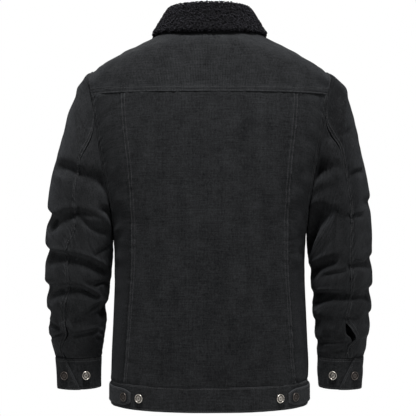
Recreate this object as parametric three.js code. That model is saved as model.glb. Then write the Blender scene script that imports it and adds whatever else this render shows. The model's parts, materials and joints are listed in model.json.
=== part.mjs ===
// Sherpa lined jacket: a short buttoned corduroy jacket with a fold-over pile collar,
// filled out as if worn, with its sleeves hanging just clear of the body.
//
// Millimetres, +Z up. The fronts face -Y, the back faces +Y and the wearer's left is +X.
// The origin is the middle of the neck opening, level with the collar seam at the back.
// Every cloth piece is a closed wall: a grid of outer points and the same grid moved
// inward by the thickness of the cloth, joined round its four edges.
import * as THREE from 'three';

// Thicknesses and gaps
const CLOTH = 3;            // corduroy with its pile lining
const BAND = 4;             // waistband and cuffs, two plies
const PILE = 9;             // one ply of the collar
const SEAM_GAP = 0.4;       // between two pieces that meet in a seam
const LAYER_GAP = 0.3;      // between a piece and what it lies on

// Heights
const HEM = -687;           // lower edge of the waistband
const WAIST_SEAM = -643;    // upper edge of the waistband
const YOKE_SEAM = -125;     // lower edge of the back yoke
const CUFF_SEAM = -606;     // upper edge of a cuff
const CUFF_HEM = -665;      // lower edge of a cuff

// Neck opening and shoulder ridge
const NECK = { halfWidth: 78, back: 73, front: 82, sideZ: -2, frontZ: -85 };
const RIDGE = {
  sideZ: -86, backZ: -40, frontZ: -108, sideReach: 1.012, backReach: 0.9, turn: 0.28, soft: 0.14,
};
const SHOULDER_RUN = 150;   // surface levels above the yoke seam, up to the neck

// Armhole, a squared oval seen from the side
const ARMHOLE = { y: 0, z: -229, halfDepth: 64, halfHeight: 143, squareness: 2.35 };

// The pieces that meet at the armhole share their corners along its edge: stations number
// from 0 at the shoulder to the yoke seam's and on to the last one under the arm, and
// negative ones run down the front.
const STATION = { yokeSeam: 3, underArm: 12, frontYoke: -2, backSeam: 4, frontSeam: -9 };

const PLACKET = { width: 42, buttons: 6 };

// The body's outline, one row for each height
const BODY = [
  { z: -687, halfWidth: 182, back: 135, front: 137, squareness: 2.3 },
  { z: -643, halfWidth: 181, back: 135, front: 138, squareness: 2.3 },
  { z: -600, halfWidth: 180, back: 135, front: 140, squareness: 2.3 },
  { z: -530, halfWidth: 177, back: 132, front: 139, squareness: 2.35 },
  { z: -460, halfWidth: 175, back: 129, front: 138, squareness: 2.4 },
  { z: -387, halfWidth: 177, back: 129, front: 138, squareness: 2.45 },
  { z: -343, halfWidth: 184, back: 130, front: 138, squareness: 2.5 },
  { z: -297, halfWidth: 196, back: 131, front: 136, squareness: 2.5 },
  { z: -252, halfWidth: 207, back: 131, front: 132, squareness: 2.5 },
  { z: -207, halfWidth: 215, back: 130, front: 126, squareness: 2.5 },
  { z: -165, halfWidth: 220, back: 128, front: 118, squareness: 2.5 },
  { z: -125, halfWidth: 223, back: 123, front: 108, squareness: 2.5 },
];

// How far the long back seam lies from the centre back
const BACK_SEAM = [
  { z: -643, x: 154 },
  { z: -515, x: 145 },
  { z: -423, x: 139.5 },
  { z: -330, x: 141 },
  { z: -250, x: 146 },
  { z: -180, x: 154 },
  { z: -125, x: 157.5 },
];

// A sleeve's outline between its folds, one row for each height
const SLEEVE = [
  { z: -665, outer: 286, inner: 204, middle: -36, halfDepth: 45 },
  { z: -606, outer: 289, inner: 202, middle: -31, halfDepth: 48 },
  { z: -585, outer: 294, inner: 199, middle: -28, halfDepth: 55 },
  { z: -550, outer: 300, inner: 194, middle: -22, halfDepth: 62 },
  { z: -500, outer: 303, inner: 189, middle: -16, halfDepth: 69 },
  { z: -450, outer: 304, inner: 184.5, middle: -11, halfDepth: 75 },
  { z: -387, outer: 302, inner: 180, middle: -6, halfDepth: 78 },
  { z: -330, outer: 299, inner: 171, middle: -3, halfDepth: 80 },
  { z: -278, outer: 292, inner: 161, middle: -1, halfDepth: 80 },
  { z: -223, outer: 279, inner: 152, middle: 0, halfDepth: 78 },
  { z: -156, outer: 263, inner: 148, middle: 0, halfDepth: 74 },
  { z: -112, outer: 248, inner: 150, middle: 0, halfDepth: 69 },
  { z: -86, outer: 231, inner: 150, middle: 0, halfDepth: 65 },
];

// Angles round a sleeve, in degrees: 0 away from the body, 90 back, 180 armpit, 270 front
const SLEEVE_SEAM = { behind: 78, settles: 0.16, leaves: 0.8, atCuff: 70 };
const SLEEVE_SET = { clear: 0.8, topBlend: 25, underBlend: 100, calmTop: 55, calmCuff: 22 };
const VENT = { from: 0.82, to: 0.93, opening: 10 };   // along the back seam, above the cuff

// Folds where a sleeve is pushed up. Each is a trough along a slanted line on the sleeve:
// centre height and angle, how far it reaches round, depth, breadth, and rise per degree.
const LEFT_FOLDS = [
  { z: -277, angle: 104, reach: 50, depth: 9, breadth: 15, rise: -0.57 },
  { z: -352, angle: 50, reach: 112, depth: 12, breadth: 14, rise: -0.3 },
  { z: -417, angle: 52, reach: 118, depth: 12, breadth: 13, rise: -0.27 },
  { z: -471, angle: 66, reach: 124, depth: 12, breadth: 12, rise: 0.04 },
  { z: -523, angle: 4, reach: 48, depth: 7, breadth: 11, rise: 0.08 },
  { z: -526, angle: 132, reach: 92, depth: 12, breadth: 12, rise: 0.34 },
  { z: -310, angle: 262, reach: 64, depth: 9, breadth: 15, rise: 0.4 },
  { z: -385, angle: 248, reach: 66, depth: 11, breadth: 14, rise: 0.25 },
  { z: -458, angle: 270, reach: 70, depth: 10, breadth: 13, rise: -0.15 },
  { z: -540, angle: 278, reach: 64, depth: 9, breadth: 12, rise: 0.12 },
];
const RIGHT_FOLDS = [
  { z: -274, angle: 122, reach: 40, depth: 13, breadth: 13, rise: -0.66 },
  { z: -358, angle: 138, reach: 50, depth: 15, breadth: 16, rise: -0.7 },
  { z: -318, angle: 12, reach: 56, depth: 5, breadth: 13, rise: -0.1 },
  { z: -431, angle: 92, reach: 146, depth: 9, breadth: 12, rise: -0.12 },
  { z: -483, angle: 88, reach: 146, depth: 11, breadth: 12, rise: -0.05 },
  { z: -532, angle: 92, reach: 146, depth: 8, breadth: 11, rise: -0.08 },
  { z: -575, angle: 108, reach: 120, depth: 8, breadth: 10, rise: -0.04 },
  { z: -336, angle: 266, reach: 64, depth: 10, breadth: 15, rise: 0.34 },
  { z: -410, angle: 256, reach: 60, depth: 9, breadth: 13, rise: 0.3 },
  { z: -476, angle: 262, reach: 74, depth: 11, breadth: 13, rise: -0.1 },
  { z: -545, angle: 272, reach: 68, depth: 9, breadth: 12, rise: 0.1 },
];

// Collar, in section: how far out from the collar seam and how high, from the stand's foot
// over the fold to the edge of the fall
const COLLAR_SECTION = [
  { out: -1, up: 0.6 },
  { out: -5, up: 18 },
  { out: -11, up: 35 },
  { out: -7, up: 41 },
  { out: -1, up: 35 },
  { out: 9, up: 18 },
];
const COLLAR_EDGE = [        // the edge of the fall, from the side to the back and front
  { angle: 0, out: 23, up: -7 },
  { angle: 90, out: 33, up: -13 },
  { angle: -45, out: 36, up: -12 },
  { angle: -84, out: 30, up: -22 },
];

// Buttons: heights and places measured from the centre back or round the cuff
const BUTTON = { radius: 8, rim: 1.2, thickness: 3.4 };
const WAIST_TAB = { from: -9, endX: 139, low: -681, high: -651, point: 7 };
const WAIST_BUTTONS = [{ name: 'tab', x: 149 }, { name: 'band', x: 123.5 }];
const WAIST_BUTTON_Z = -665.5;
const FRONT_BUTTONS = { top: -30, aboveWaistSeam: 45 };

// Strips that lap over their own start: how many degrees they lap, and where round the
// strip the upper end starts to lift and how softly
const WAIST_LAP = { lap: 9, lifts: 340, softness: 18 };
const CUFF = {
  start: 44,
  lap: 38,
  slant: 18,
  lifts: 330,
  softness: 26,
  buttons: [{ name: 'lap', at: 64 }, { name: 'far', at: 114 }],
  buttonsBelowMiddle: 3,
};

const cloth = { color: 0x1e1f21, roughness: 0.95, metalness: 0 };
const pile = { color: 0x0f0f11, roughness: 1, metalness: 0 };
const bronze = { color: 0x4a3c35, roughness: 0.45, metalness: 0.9 };
const nickel = { color: 0x9a948a, roughness: 0.35, metalness: 0.9 };

const jacket = new THREE.Group();
const radians = THREE.MathUtils.degToRad;
const mix = THREE.MathUtils.lerp;

function clamp01(value) {
  return Math.min(Math.max(value, 0), 1);
}

function smooth(value) {
  const t = clamp01(value);
  return t * t * (3 - 2 * t);
}

// A smooth curve through a table's column, read at a height
function atHeight(table, z, column) {
  const last = table.length - 1;
  let i = 0;
  while (i < last - 1 && z > table[i + 1].z) i += 1;
  const slope = (j) => {
    const low = table[Math.max(j - 1, 0)];
    const high = table[Math.min(j + 1, last)];
    return (high[column] - low[column]) / (high.z - low.z);
  };
  const span = table[i + 1].z - table[i].z;
  const t = clamp01((z - table[i].z) / span);
  const rest = 1 - t;
  return table[i][column] * (1 + 2 * t) * rest * rest
    + slope(i) * span * t * rest * rest
    + table[i + 1][column] * t * t * (3 - 2 * t)
    - slope(i + 1) * span * t * t * rest;
}

// The crossing of zero between two values of a function that rises through it
function crossing(f, from, to) {
  let low = from;
  let high = to;
  for (let step = 0; step < 40; step += 1) {
    const middle = (low + high) / 2;
    if (f(middle) < 0) low = middle;
    else high = middle;
  }
  return (low + high) / 2;
}

// The body's surface

// A level ring of the body: a rounded oblong, flatter at the back and front
function ringPoint(z, angle) {
  const c = Math.cos(radians(angle));
  const s = Math.sin(radians(angle));
  const power = 2 / atHeight(BODY, z, 'squareness');
  const depth = atHeight(BODY, z, s > 0 ? 'back' : 'front');
  const width = atHeight(BODY, z, 'halfWidth');
  return new THREE.Vector3(width * signedPower(c, power), depth * signedPower(s, power), z);
}

function neckPoint(angle) {
  const c = Math.cos(radians(angle));
  const s = Math.sin(radians(angle));
  const atBack = s > 0;
  return new THREE.Vector3(
    NECK.halfWidth * c,
    s * (atBack ? NECK.back : NECK.front),
    atBack ? NECK.sideZ * (1 - s) : NECK.sideZ + (NECK.frontZ - NECK.sideZ) * s * s,
  );
}

// Up from the yoke seam's level, round the shoulder ridge and in to the neck
function shoulderPoint(angle, t) {
  const start = ringPoint(YOKE_SEAM, angle);
  const end = neckPoint(angle);
  const c = Math.abs(Math.cos(radians(angle)));
  const side = c ** 1.4;
  const middleZ = Math.sin(radians(angle)) > 0 ? RIDGE.backZ : RIDGE.frontZ;
  const reach = RIDGE.backReach + (RIDGE.sideReach - RIDGE.backReach) * side;
  const corner = new THREE.Vector3(
    start.x * reach, start.y * reach, middleZ + (RIDGE.sideZ - middleZ) * side);
  const { turn, soft } = RIDGE;
  const along = (u) => (u < turn
    ? start.clone().lerp(corner, u / turn)
    : corner.clone().lerp(end, (u - turn) / (1 - turn)));
  if (Math.abs(t - turn) > soft) return along(t);
  const u = (t - turn + soft) / (2 * soft);
  return along(turn - soft).multiplyScalar((1 - u) ** 2)
    .addScaledVector(corner, 2 * u * (1 - u))
    .addScaledVector(along(turn + soft), u * u);
}

// level is a height below the yoke seam, and above it runs on to SHOULDER_RUN at the neck
function bodyPoint(angle, level) {
  if (level <= 0) return ringPoint(YOKE_SEAM + level, angle);
  return shoulderPoint(angle, Math.min(level / SHOULDER_RUN, 1));
}

function bodyNormal(angle, level) {
  const high = Math.min(level + 2, SHOULDER_RUN);
  const low = Math.max(level - 2, HEM - YOKE_SEAM);
  const up = bodyPoint(angle, high).sub(bodyPoint(angle, low));
  const round = bodyPoint(angle + 1, level).sub(bodyPoint(angle - 1, level));
  return round.cross(up).normalize();
}

function onBody(angle, level, out = 0) {
  const normal = bodyNormal(angle, level);
  return { point: bodyPoint(angle, level).addScaledVector(normal, out), normal };
}

// The angle, on the wearer's left half, at which a level ring has this x, at the back
function angleAtX(z, x) {
  const share = x / atHeight(BODY, z, 'halfWidth');
  const c = Math.sign(share) * Math.abs(share) ** (atHeight(BODY, z, 'squareness') / 2);
  return THREE.MathUtils.radToDeg(Math.acos(c));
}

// The armhole

function armholeSide(point) {
  const y = Math.abs(point.y - ARMHOLE.y) / ARMHOLE.halfDepth;
  const z = Math.abs(point.z - ARMHOLE.z) / ARMHOLE.halfHeight;
  return y ** ARMHOLE.squareness + z ** ARMHOLE.squareness - 1;
}

function signedPower(value, power) {
  return Math.sign(value) * Math.abs(value) ** power;
}

// Half the armhole's opening at a level, as an angle round the body
function armholeAngle(level, sign) {
  if (level <= ARMHOLE.z - ARMHOLE.halfHeight - YOKE_SEAM) return 0;
  if (armholeSide(bodyPoint(0, level)) >= 0) return 0;
  return sign * crossing((angle) => armholeSide(bodyPoint(sign * angle, level)), 0, 60);
}

// The level at which a line up the shoulder leaves the armhole
function armholeTop(angle) {
  if (armholeSide(bodyPoint(angle, 0)) >= 0) return 0;
  return crossing((level) => armholeSide(bodyPoint(angle, level)), 0, SHOULDER_RUN);
}

// The armhole's edge: 0 at the shoulder, 90 at the back, 180 under the arm
const edges = new Map();
function armholeEdge(angle) {
  const key = (((angle % 360) + 360) % 360).toFixed(3);
  if (!edges.has(key)) edges.set(key, findArmholeEdge(Number(key)));
  return edges.get(key);
}

function findArmholeEdge(angle) {
  const power = 2 / ARMHOLE.squareness;
  const z = ARMHOLE.z + ARMHOLE.halfHeight * signedPower(Math.cos(radians(angle)), power);
  const y = ARMHOLE.y + ARMHOLE.halfDepth * signedPower(Math.sin(radians(angle)), power);
  const level = z - YOKE_SEAM;
  const sign = y < 0 ? -1 : 1;
  const lengthwise = (round, at) => ({ ...onBody(round, at), round, level: at });
  if (level <= 0) return lengthwise(armholeAngle(level, sign), level);
  const depthAt = (a) => bodyPoint(a, armholeTop(a)).y;
  const widest = Math.abs(armholeAngle(0, sign));
  const found = sign * crossing((a) => sign * (depthAt(sign * a) - y), 0, widest);
  return lengthwise(found, armholeTop(found));
}

// The angle on the armhole of a station, which may run on past the last one under the arm
function stationAngle(k) {
  const high = (YOKE_SEAM - ARMHOLE.z) / ARMHOLE.halfHeight;
  const seam = THREE.MathUtils.radToDeg(Math.acos(high ** (ARMHOLE.squareness / 2)));
  if (k > STATION.underArm) return 360 + stationAngle(k - 2 * STATION.underArm);
  const steps = Math.abs(k);
  if (steps <= STATION.yokeSeam) return seam * k / STATION.yokeSeam;
  const below = (steps - STATION.yokeSeam) / (STATION.underArm - STATION.yokeSeam);
  return Math.sign(k) * (seam + (180 - seam) * below);
}

// A sleeve's surface, on the wearer's left; the right one is its mirror image

function sleeveSection(angle, z) {
  const outer = atHeight(SLEEVE, z, 'outer');
  const inner = atHeight(SLEEVE, z, 'inner');
  return new THREE.Vector3(
    (outer + inner) / 2 + (outer - inner) / 2 * Math.cos(radians(angle)),
    atHeight(SLEEVE, z, 'middle') + atHeight(SLEEVE, z, 'halfDepth') * Math.sin(radians(angle)),
    z,
  );
}

function foldDepth(folds, angle, z) {
  let depth = 0;
  for (const fold of folds) {
    const round = ((angle - fold.angle + 540) % 360) - 180;
    const across = (z - fold.z - fold.rise * round) / fold.breadth;
    const along = round / fold.reach;
    if (Math.abs(along) < 1) {
      depth += fold.depth * Math.cos(along * Math.PI / 2) ** 1.2 * Math.exp(-across * across);
    }
  }
  return depth;
}

// s runs from 0 at the armhole to 1 at the cuff
function sleevePoint(folds, angle, s) {
  const edge = armholeEdge(angle).point.clone();
  edge.x += SLEEVE_SET.clear;
  const z = edge.z + (CUFF_SEAM + SEAM_GAP - edge.z) * s;
  const run = edge.z - z;
  const under = (1 - Math.cos(radians(angle))) / 2;
  const blend = mix(SLEEVE_SET.topBlend, SLEEVE_SET.underBlend, under);
  const point = sleeveSection(angle, z);
  const towards = smooth(run / blend);
  point.x = edge.x + (point.x - edge.x) * towards;
  point.y = edge.y + (point.y - edge.y) * towards;
  const calm = smooth(run / SLEEVE_SET.calmTop) * smooth((z - CUFF_SEAM) / SLEEVE_SET.calmCuff);
  const depth = foldDepth(folds, angle, z) * calm;
  point.x -= depth * Math.cos(radians(angle));
  point.y -= depth * Math.sin(radians(angle));
  return point;
}

function onSleeve(folds, angle, s) {
  const down = sleevePoint(folds, angle, Math.min(s + 0.006, 1))
    .sub(sleevePoint(folds, angle, Math.max(s - 0.006, 0)));
  const round = sleevePoint(folds, angle + 2, s).sub(sleevePoint(folds, angle - 2, s));
  const normal = down.cross(round).normalize();
  const overShoulder = smooth((Math.cos(radians(angle)) + 0.1) / 0.4) * (1 - smooth(s / 0.04));
  normal.lerp(armholeEdge(angle).normal, overShoulder).normalize();
  return { point: sleevePoint(folds, angle, s), normal };
}

// Closed walls from grids

function addMesh(name, geometry, finish) {
  const mesh = new THREE.Mesh(geometry, new THREE.MeshStandardMaterial(finish));
  mesh.name = name;
  jacket.add(mesh);
  return mesh;
}

// place(u, v) gives an outer point and the outward normal there, u and v from 0 to 1
function wall(name, columns, rows, thickness, finish, place, mirrored = false) {
  const positions = [];
  const across = rows + 1;
  const count = (columns + 1) * across;
  const inner = [];
  for (let i = 0; i <= columns; i += 1) {
    for (let j = 0; j <= rows; j += 1) {
      const { point, normal } = place(i / columns, j / rows);
      const inside = point.clone().addScaledVector(normal, -thickness);
      const side = mirrored ? -1 : 1;
      positions.push(point.x * side, point.y, point.z);
      inner.push(inside.x * side, inside.y, inside.z);
    }
  }
  positions.push(...inner);
  const faces = [];
  const quad = (a, b, c, d) => faces.push([a, b, c], [a, c, d]);
  for (let i = 0; i < columns; i += 1) {
    for (let j = 0; j < rows; j += 1) {
      const a = i * across + j;
      const b = a + across;
      quad(a, b, b + 1, a + 1);
      quad(count + a, count + a + 1, count + b + 1, count + b);
    }
  }
  const rim = (a, b) => quad(b, a, count + a, count + b);
  for (let i = 0; i < columns; i += 1) {
    rim(i * across, (i + 1) * across);
    rim((i + 1) * across + rows, i * across + rows);
  }
  for (let j = 0; j < rows; j += 1) {
    rim(j + 1, j);
    rim(columns * across + j, columns * across + j + 1);
  }
  const geometry = new THREE.BufferGeometry();
  geometry.setAttribute('position', new THREE.Float32BufferAttribute(positions, 3));
  const outward = signedVolume(positions, faces) > 0;
  geometry.setIndex(faces.flatMap(([a, b, c]) => (outward ? [a, b, c] : [a, c, b])));
  geometry.computeVertexNormals();
  return addMesh(name, geometry, finish);
}

function signedVolume(positions, faces) {
  const corner = (i) => new THREE.Vector3().fromArray(positions, i * 3);
  let volume = 0;
  for (const [a, b, c] of faces) volume += corner(a).dot(corner(b).cross(corner(c)));
  return volume / 6;
}

// Degrees round a level ring that a length in millimetres takes, near an angle
function degreesFor(length, angle, z) {
  return length / ringPoint(z, angle + 0.5).distanceTo(ringPoint(z, angle - 0.5));
}

const FLOOR_LEVEL = WAIST_SEAM + SEAM_GAP / 2 - YOKE_SEAM;
const SIDES = [
  { side: 'left', mirrored: false, folds: LEFT_FOLDS },
  { side: 'right', mirrored: true, folds: RIGHT_FOLDS },
];

// The back

function backSeamAngle(level) {
  const z = YOKE_SEAM + level;
  return angleAtX(z, atHeight(BACK_SEAM, z, 'x'));
}

// Rows below the armhole are even, and those beside it lie at its stations
const ROWS_BELOW = 6;
const ROWS_BESIDE = STATION.underArm - STATION.yokeSeam;
function panelLevel(row) {
  const armpit = ARMHOLE.z - ARMHOLE.halfHeight - YOKE_SEAM;
  if (row <= ROWS_BELOW) return mix(FLOOR_LEVEL, armpit, row / ROWS_BELOW);
  const station = STATION.underArm - (row - ROWS_BELOW);
  return Math.min(armholeEdge(stationAngle(station)).level, -SEAM_GAP);
}

function backCentre() {
  const rows = ROWS_BELOW + ROWS_BESIDE;
  wall('back_centre', 8, rows, CLOTH, cloth, (u, v) => {
    const level = panelLevel(Math.round(v * rows));
    const z = YOKE_SEAM + level;
    const edge = backSeamAngle(level);
    const gap = degreesFor(SEAM_GAP / 2, edge, z);
    return onBody(mix(edge + gap, 180 - edge - gap, u), level);
  });
}

function backSide({ side, mirrored }) {
  const rows = ROWS_BELOW + ROWS_BESIDE;
  wall(`back_side_${side}`, 6, rows, CLOTH, cloth, (u, v) => {
    const level = panelLevel(Math.round(v * rows));
    const z = YOKE_SEAM + level;
    const from = armholeAngle(level, 1) + degreesFor(SEAM_GAP / 2, 1, z);
    const edge = backSeamAngle(level);
    return onBody(mix(from, edge - degreesFor(SEAM_GAP / 2, edge, z), u), level);
  }, mirrored);
}

// The yoke's columns: at the armhole's stations, then evenly to the centre back
function yokeAngles() {
  const angles = [];
  for (let k = STATION.frontYoke; k <= STATION.yokeSeam; k += 1) {
    angles.push(armholeEdge(stationAngle(k)).round);
  }
  const seam = angles.at(-1);
  const steps = 12;
  for (let i = 1; i <= steps; i += 1) angles.push(mix(seam, 90, i / steps));
  const otherHalf = angles.slice(0, -1).map((angle) => 180 - angle);
  return [...angles, ...otherHalf.reverse()];
}

function backYoke() {
  const angles = yokeAngles();
  const columns = angles.length - 1;
  const seam = armholeAngle(0, 1);
  wall('back_yoke', columns, 6, CLOTH, cloth, (u, v) => {
    const angle = angles[Math.round(u * columns)];
    const onLeft = angle <= 90 ? angle : 180 - angle;
    const low = onLeft < seam - 0.01 ? armholeTop(onLeft) : 0;
    return onBody(angle, mix(low, SHOULDER_RUN, v ** 1.3));
  });
}

// The fronts

const ROWS_TO_NECK = 4;
const FRONT_ROWS = ROWS_BELOW + ROWS_BESIDE + 1 + ROWS_TO_NECK;
const FRONT_YOKE_SEAM = armholeEdge(stationAngle(STATION.frontYoke)).round - 0.4;

function frontLevel(row) {
  const above = row - (FRONT_ROWS - ROWS_TO_NECK);
  if (above < 0) return panelLevel(row);
  return mix(armholeTop(FRONT_YOKE_SEAM), SHOULDER_RUN, above / ROWS_TO_NECK);
}

function front({ side, mirrored }) {
  const middle = -90 + 0.12;
  wall(`front_${side}`, 7, FRONT_ROWS, CLOTH, cloth, (u, v) => {
    const row = Math.round(v * FRONT_ROWS);
    const level = frontLevel(row);
    const besideYoke = row >= FRONT_ROWS - ROWS_TO_NECK;
    const edge = besideYoke ? FRONT_YOKE_SEAM : Math.min(armholeAngle(level, -1), -0.2);
    return onBody(mix(edge, middle, u ** 0.9), level);
  }, mirrored);
}

function placket() {
  const top = SHOULDER_RUN - 12;
  wall('front_placket', 3, FRONT_ROWS, CLOTH, cloth, (u, v) => {
    const level = Math.min(frontLevel(Math.round(v * FRONT_ROWS)), top);
    const z = Math.min(YOKE_SEAM + level, YOKE_SEAM);
    const half = degreesFor(PLACKET.width / 2, -90, z);
    return onBody(-90 + mix(-half, half, u), level, CLOTH + LAYER_GAP + 0.3);
  });
}

// The waistband, a strip that goes once round and laps over itself at the front

function waistband() {
  const { lap, lifts, softness } = WAIST_LAP;
  wall('waistband', 52, 2, BAND, cloth, (u, v) => {
    const turned = mix(0, 360 + lap, u);
    const z = mix(HEM, WAIST_SEAM - SEAM_GAP / 2, v);
    const over = smooth((turned - lifts) / softness) * (BAND + LAYER_GAP + 0.3);
    return onBody(-90 - lap / 2 + turned, z - YOKE_SEAM, over);
  });
}

function waistTab({ side, mirrored }) {
  const middle = (WAIST_TAB.low + WAIST_TAB.high) / 2;
  wall(`waist_tab_${side}`, 8, 2, CLOTH, cloth, (u, v) => {
    const end = angleAtX(middle, WAIST_TAB.endX);
    const angle = mix(WAIST_TAB.from, end, u);
    const narrow = WAIST_TAB.point * clamp01((u - 0.8) / 0.2) ** 2;
    const z = mix(WAIST_TAB.low + narrow, WAIST_TAB.high - narrow, v);
    return onBody(angle, z - YOKE_SEAM, CLOTH + LAYER_GAP + 0.2);
  }, mirrored);
}

// The collar, one folded ply

function collarEdge(angle) {
  const [side, back, corner, end] = COLLAR_EDGE;
  const near = angle > 90 ? 180 - angle : angle;
  const pair = near > 0 ? [side, back] : near > corner.angle ? [side, corner] : [corner, end];
  const t = smooth((near - pair[0].angle) / (pair[1].angle - pair[0].angle));
  return { out: mix(pair[0].out, pair[1].out, t), up: mix(pair[0].up, pair[1].up, t) };
}

function collarSection(angle) {
  const edge = collarEdge(angle);
  const row = [...COLLAR_SECTION, edge];
  return new THREE.SplineCurve(row.map(({ out, up }) => new THREE.Vector2(out, up)));
}

function collar() {
  const end = -85;
  wall('collar', 36, 9, PILE, pile, (u, v) => {
    const angle = mix(end, 180 - end, u);
    const seam = neckPoint(angle);
    const section = collarSection(angle);
    const at = section.getPoint(v);
    const tangent = section.getTangent(v);
    const flat = neckPoint(angle + 1).sub(neckPoint(angle - 1)).setZ(0).normalize();
    const outward = new THREE.Vector3(flat.y, -flat.x, 0);
    const normal = outward.clone().multiplyScalar(-tangent.y).setZ(tangent.x);
    const point = seam.addScaledVector(outward, at.x);
    point.z += at.y;
    return { point: point.addScaledVector(normal, PILE / 2), normal };
  });
}

// Sleeves and cuffs

function backSeamAt(s) {
  const { behind, settles, leaves, atCuff } = SLEEVE_SEAM;
  const settled = mix(stationAngle(STATION.backSeam), behind, smooth(s / settles));
  return mix(settled, atCuff, smooth((s - leaves) / (1 - leaves)));
}

// Half the gap along the back seam, in degrees, wider at the vent
function backSeamGap(s) {
  const inVent = clamp01((s - VENT.from) / (VENT.to - VENT.from));
  const turned = 0.5 * (1 - smooth(s / 0.14));
  return 0.25 + turned + VENT.opening * 0.5 * Math.sin(Math.PI * inVent) ** 0.8;
}

// Rings lie closer together below the shoulder, where the sleeve is pushed up in folds
const SLEEVE_RINGS = { above: 6, below: 30, turn: 0.3 };
function ringPlace(ring) {
  const { above, below, turn } = SLEEVE_RINGS;
  if (ring <= above) return turn * ring / above;
  return turn + (1 - turn) * (ring - above) / below;
}

// A sleeve panel's columns start at the armhole's stations and spread to its two seams
function sleevePanel(name, folds, from, to, seamsAt, mirrored) {
  const columns = to - from;
  const first = stationAngle(from);
  const last = stationAngle(to);
  const rings = SLEEVE_RINGS.above + SLEEVE_RINGS.below;
  wall(name, columns, rings, CLOTH, cloth, (u, v) => {
    const s = ringPlace(Math.round(v * rings));
    const share = (stationAngle(from + Math.round(u * columns)) - first) / (last - first);
    const [start, end] = seamsAt(s);
    return onSleeve(folds, mix(start, end, share), s);
  }, mirrored);
}

function sleeve({ side, mirrored, folds }) {
  const { backSeam, frontSeam, underArm } = STATION;
  const frontAngle = stationAngle(frontSeam);
  const gap = 0.4;
  sleevePanel(`sleeve_outer_${side}`, folds, frontSeam, backSeam,
    (s) => [frontAngle + gap, backSeamAt(s) - backSeamGap(s)], mirrored);
  sleevePanel(`sleeve_under_${side}`, folds, backSeam, frontSeam + 2 * underArm,
    (s) => [backSeamAt(s) + backSeamGap(s), frontAngle + 360 - gap], mirrored);
}

function onCuff(angle, z, out) {
  const normal = sleeveSection(angle + 1, z).sub(sleeveSection(angle - 1, z));
  normal.set(normal.y, -normal.x, 0).normalize();
  return { point: sleeveSection(angle, z).addScaledVector(normal, out), normal };
}

// A strip round the wrist whose slanted end laps over its start, under the sleeve's vent
function cuff({ side, mirrored }) {
  wall(`cuff_${side}`, 34, 2, BAND, cloth, (u, v) => {
    const slant = CUFF.slant * (2 * v - 1) * clamp01((u - 0.8) / 0.2);
    const turned = mix(0, 360 + CUFF.lap, u) + slant;
    const z = mix(CUFF_SEAM - SEAM_GAP / 2, CUFF_HEM, v);
    const over = smooth((turned - CUFF.lifts) / CUFF.softness) * (BAND + LAYER_GAP + 0.4);
    return onCuff(CUFF.start + turned, z, over);
  }, mirrored);
}

// Buttons, set on the cloth with their backs just clear of it

function buttonGeometry() {
  const { radius, rim, thickness } = BUTTON;
  const profile = [
    [0, 0], [radius * 0.7, 0], [radius, thickness * 0.45], [radius - rim * 0.4, thickness],
    [radius - rim, thickness], [radius - rim * 1.6, thickness * 0.7], [0, thickness * 0.8],
  ];
  const outline = profile.map(([x, y]) => new THREE.Vector2(x, y));
  return new THREE.LatheGeometry(outline, 12).rotateX(Math.PI / 2);
}

function button(name, { point, normal }, clear, finish, mirrored = false) {
  const mesh = addMesh(name, buttonGeometry(), finish);
  const at = point.clone().addScaledVector(normal, clear);
  const facing = normal.clone();
  if (mirrored) {
    at.x = -at.x;
    facing.x = -facing.x;
  }
  mesh.position.copy(at);
  mesh.quaternion.setFromUnitVectors(new THREE.Vector3(0, 0, 1), facing);
}

function waistButtons({ side, mirrored }) {
  for (const { name, x } of WAIST_BUTTONS) {
    const place = onBody(angleAtX(WAIST_BUTTON_Z, x), WAIST_BUTTON_Z - YOKE_SEAM);
    const onTab = name === 'tab';
    const clear = onTab ? CLOTH + 2 * LAYER_GAP + 0.4 : LAYER_GAP + 0.4;
    button(`button_waist_${name}_${side}`, place, clear, onTab ? bronze : nickel, mirrored);
  }
}

function cuffButtons({ side, mirrored }) {
  for (const { name, at } of CUFF.buttons) {
    const onLap = name === 'lap';
    const clear = (onLap ? BAND + LAYER_GAP + 0.3 : 0) + LAYER_GAP + 0.7;
    const place = onCuff(at, (CUFF_HEM + CUFF_SEAM) / 2 - CUFF.buttonsBelowMiddle, 0);
    button(`button_cuff_${name}_${side}`, place, clear, onLap ? bronze : nickel, mirrored);
  }
}

function frontButtons() {
  const { top } = FRONT_BUTTONS;
  const bottom = FLOOR_LEVEL + FRONT_BUTTONS.aboveWaistSeam;
  for (let i = 0; i < PLACKET.buttons; i += 1) {
    const level = mix(top, bottom, i / (PLACKET.buttons - 1));
    button(`button_front_${i + 1}`, onBody(-90, level), CLOTH + 3 * LAYER_GAP + 0.2, nickel);
  }
  const onLap = BAND + 2 * LAYER_GAP + 0.6;
  button('button_waist_front', onBody(-90, WAIST_BUTTON_Z - YOKE_SEAM), onLap, nickel);
}

backYoke();
backCentre();
for (const half of SIDES) {
  backSide(half);
  front(half);
  waistTab(half);
  waistButtons(half);
  sleeve(half);
  cuff(half);
  cuffButtons(half);
}
placket();
waistband();
collar();
frontButtons();

export default jacket;
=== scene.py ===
# %% [markdown]
# # Sherpa lined jacket, filled out as if worn
# A short black corduroy jacket with a pile collar turned down over its yoke, seen from the
# back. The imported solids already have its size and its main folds. Each of them could be
# subdivided and sculpted, but its grid is coarse, so every cloth piece is made again here
# on the same form with far closer rows: seams, puckers, creases and sewing need them.

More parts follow.
